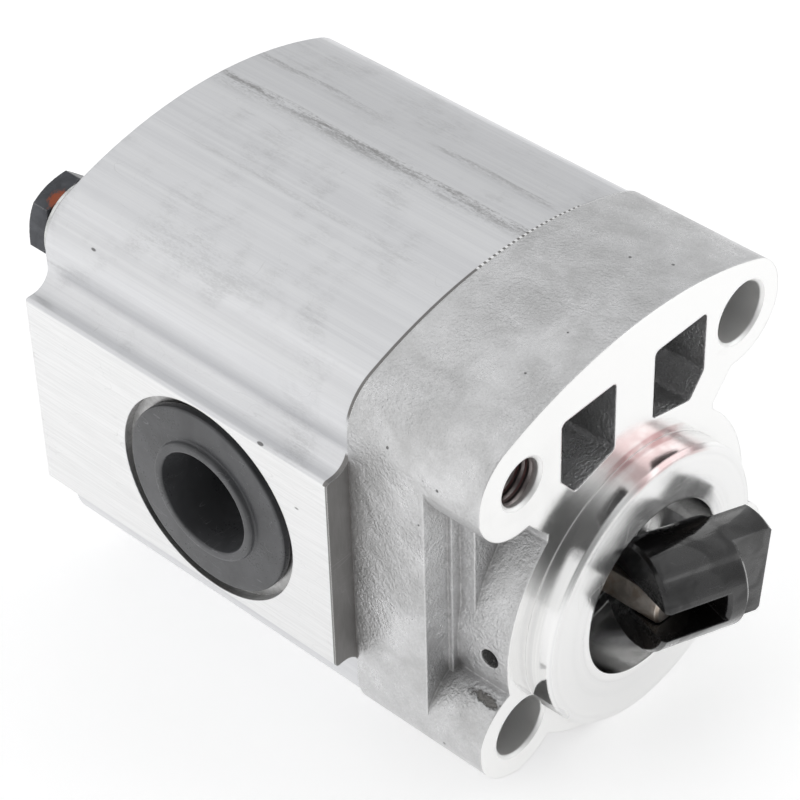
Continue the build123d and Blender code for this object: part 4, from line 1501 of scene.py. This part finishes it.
@dataclass
class PortPlugs:
    """The push-in plugs that close the two ports."""

    disc_radius: float = 17.8
    lip_radius: float = 11.3
    opening_radius: float = 9.6
    stem_radius: float = 13.15
    seat: float = -1.5
    disc_top: float = 0.2
    lip_top: float = 1.3
    stem_end: float = -14.5
    floor_top: float = -12.5
    rib_places: tuple[float, ...] = (-4.0, -7.0, -10.0)
    rib_depth: float = 0.35
    columns: int = 160

    def build(self) -> None:
        """Turns both plugs."""
        look = MouldedFinish(
            "moulded plug", (0.062, 0.063, 0.067), (0.26, 0.26, 0.27), 0.30, edge_mm=0.25
        ).material()
        for side in Side:
            label = side.name.lower()
            piece = dressed(self.plug(f"{label}_moulded_plug", side), look, f"{label}_plug")
            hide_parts(f"{label}_port_plug")

    def plug(self, name: str, side: Side) -> bpy.types.Object:
        """One plug as a rounded profile carried round the port's axis.

        The profile runs from the middle of the hollow's floor, up its wall, over the lip
        and the disc, and down the ribbed stem to the middle of its end. A point at height
        h and radius r lies at X = side * (port face + h), with Y and Z on a circle of r.

        Args:
            name: The piece's name.
            side: The side that its port opens on.

        Returns:
            The plug.
        """
        ribs = []
        valley = self.stem_radius - self.rib_depth
        for place in self.rib_places:
            ribs += [(place + 0.9, valley, 0.2), (place, self.stem_radius, 0.15)]
            ribs += [(place - 0.25, self.stem_radius, 0.1), (place - 0.4, valley, 0.15)]
        corners = [
            (self.floor_top, 0.4, 0.0),
            (self.floor_top, self.opening_radius - 0.25, 1.0),
            (self.lip_top, self.opening_radius, 0.45),
            (self.lip_top, self.lip_radius, 0.5),
            (self.disc_top, self.lip_radius + 0.12, 0.35),
            (self.disc_top, self.disc_radius, 0.45),
            (self.seat, self.disc_radius, 0.35),
            (self.seat, self.stem_radius, 0.4),
            *ribs,
            (self.stem_end, self.stem_radius - 0.9, 0.8),
            (self.stem_end, 0.4, 0.0),
        ]
        profile = rounded_line(corners)
        angle = np.linspace(0, 2 * math.pi, self.columns, endpoint=False)[None, :]
        height, radius = profile[:, 0][:, None], profile[:, 1][:, None]
        grid = np.stack(
            [
                side.value * (SIZES.port_face + height) + 0 * angle,
                SIZES.port_station + radius * np.cos(angle),
                SIZES.middle_height + radius * np.sin(angle),
            ],
            axis=-1,
        )
        middle = (SIZES.port_station, SIZES.middle_height)
        return surface(
            name,
            grid * MM,
            first_pole=np.array([side.value * (SIZES.port_face + self.floor_top), *middle]) * MM,
            last_pole=np.array([side.value * (SIZES.port_face + self.stem_end), *middle]) * MM,
            crease=40,
        )


@dataclass
class Studio:
    """Floor, soft light and camera."""

    camera_place: tuple[float, float, float] = (-0.2765, -0.2141, 0.3435)
    azimuth: float = -46.21
    elevation: float = 41.19
    roll: float = -1.75
    lens: float = 133.09
    sky: float = 0.66
    panel_level: float = 1.45
    shade_level: float = 0.12
    floor_drop: float = 0.0003

    def build(self, lowest: float) -> None:
        """Makes the floor just below the pump, the sky, the lamps and the camera.

        Args:
            lowest: Height of the pump's lowest point, in metres.
        """
        self.floor(lowest - self.floor_drop)
        self.world()
        self.lamp("overhead softbox", (0.10, 0.25, 0.95), (0.0, 0.03, 0.0), 1.6, 1.6)
        self.lamp("right softbox", (0.75, -0.55, 0.50), (0.0, 0.0, 0.0), 0.7, 1.6)
        self.camera()
        bpy.context.scene.view_settings.view_transform = "Standard"

    def floor(self, height: float) -> None:
        """A flat square sheet, four metres wide.

        Args:
            height: The sheet's height, in metres.
        """
        span = np.linspace(-2.0, 2.0, 9)
        x, y = np.meshgrid(span, span)
        mesh = bpy.data.meshes.new("floor")
        index = np.arange(81).reshape(9, 9)
        quads = np.stack([index[:-1, :-1], index[:-1, 1:], index[1:, 1:], index[1:, :-1]], axis=-1)
        points = np.stack([x, y, np.full_like(x, height)], axis=-1).reshape(-1, 3)
        mesh.from_pydata(points.tolist(), [], quads.reshape(-1, 4).tolist())
        mesh.materials.append(FloorFinish("pale floor").material())
        piece = bpy.data.objects.new("floor", mesh)
        bpy.context.scene.collection.objects.link(piece)
        piece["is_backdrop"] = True

    def world(self) -> None:
        """A pale sky with a brighter panel at the left rear, darker where the viewer stands."""
        made = bpy.data.worlds.new("studio tent")
        made.use_nodes = True
        wires = Wiring(made.node_tree)
        back = self.back()
        way = wires.node("TexCoord").outputs["Generated"]
        near = wires.vector("DOT_PRODUCT", way, tuple(back)).outputs["Value"]
        dark = wires.ramp(near, 0.72, 0.97)
        side = wires.vector("DOT_PRODUCT", way, (-0.80, 0.50, 0.34)).outputs["Value"]
        panel = wires.ramp(side, 0.45, 0.95)
        sheet_level = wires.colour(panel, colour_of(1.0, (0.99, 0.995, 1.0)), colour_of(self.panel_level))
        tent = wires.colour(dark, sheet_level, colour_of(self.shade_level))
        sheet = made.node_tree.nodes["Background"]
        wires.feed(sheet.inputs["Color"], tent)
        sheet.inputs["Strength"].default_value = self.sky
        bpy.context.scene.world = made

    def lamp(
        self,
        name: str,
        place: Sequence[float],
        aim: Sequence[float],
        size: float,
        power: float,
    ) -> None:
        """A square area lamp at place that faces aim.

        Args:
            name: The lamp's name.
            place: Where it stands, in metres.
            aim: What it faces.
            size: Its side in metres.
            power: Its power in watts.
        """
        data = bpy.data.lights.new(name, "AREA")
        data.shape, data.size, data.energy = "SQUARE", size, power
        piece = bpy.data.objects.new(name, data)
        way = Vector(aim) - Vector(place)
        piece.matrix_world = Matrix.Translation(place) @ way.to_track_quat("-Z", "Y").to_matrix().to_4x4()
        bpy.context.scene.collection.objects.link(piece)

    def back(self) -> Vector:
        """The way from the pump to the camera."""
        a, e = math.radians(self.azimuth), math.radians(self.elevation)
        return Vector((math.sin(a) * math.cos(e), -math.cos(a) * math.cos(e), math.sin(e)))

    def camera(self) -> None:
        """The camera: its axes are the level ones, turned by roll about the view."""
        a, r = math.radians(self.azimuth), math.radians(self.roll)
        back = self.back()
        level = Vector((math.cos(a), math.sin(a), 0.0))
        rise = back.cross(level)
        right = level * math.cos(r) + rise * math.sin(r)
        up = rise * math.cos(r) - level * math.sin(r)
        data = bpy.data.cameras.new("camera")
        data.lens, data.sensor_width = self.lens, 36.0
        data.clip_start, data.clip_end = 0.01, 20.0
        piece = bpy.data.objects.new("camera", data)
        turned = Matrix((right, up, back)).transposed().to_4x4()
        piece.matrix_world = Matrix.Translation(self.camera_place) @ turned
        bpy.context.scene.collection.objects.link(piece)
        bpy.context.scene.camera = piece


def main() -> None:
    """Builds the sub-assemblies in order."""
    logging.basicConfig(level=logging.INFO, format="%(name)s %(message)s")
    packed = [list(corner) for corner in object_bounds()]
    Studio().build(packed[0][2])
    for part in (Housing(), GearTrain(), ShaftSeal(), TieBolts(), DriveCoupler(), PortPlugs()):
        part.build()
        LOG.info("%s done", type(part).__name__)


if __name__ == "__main__":
    main()
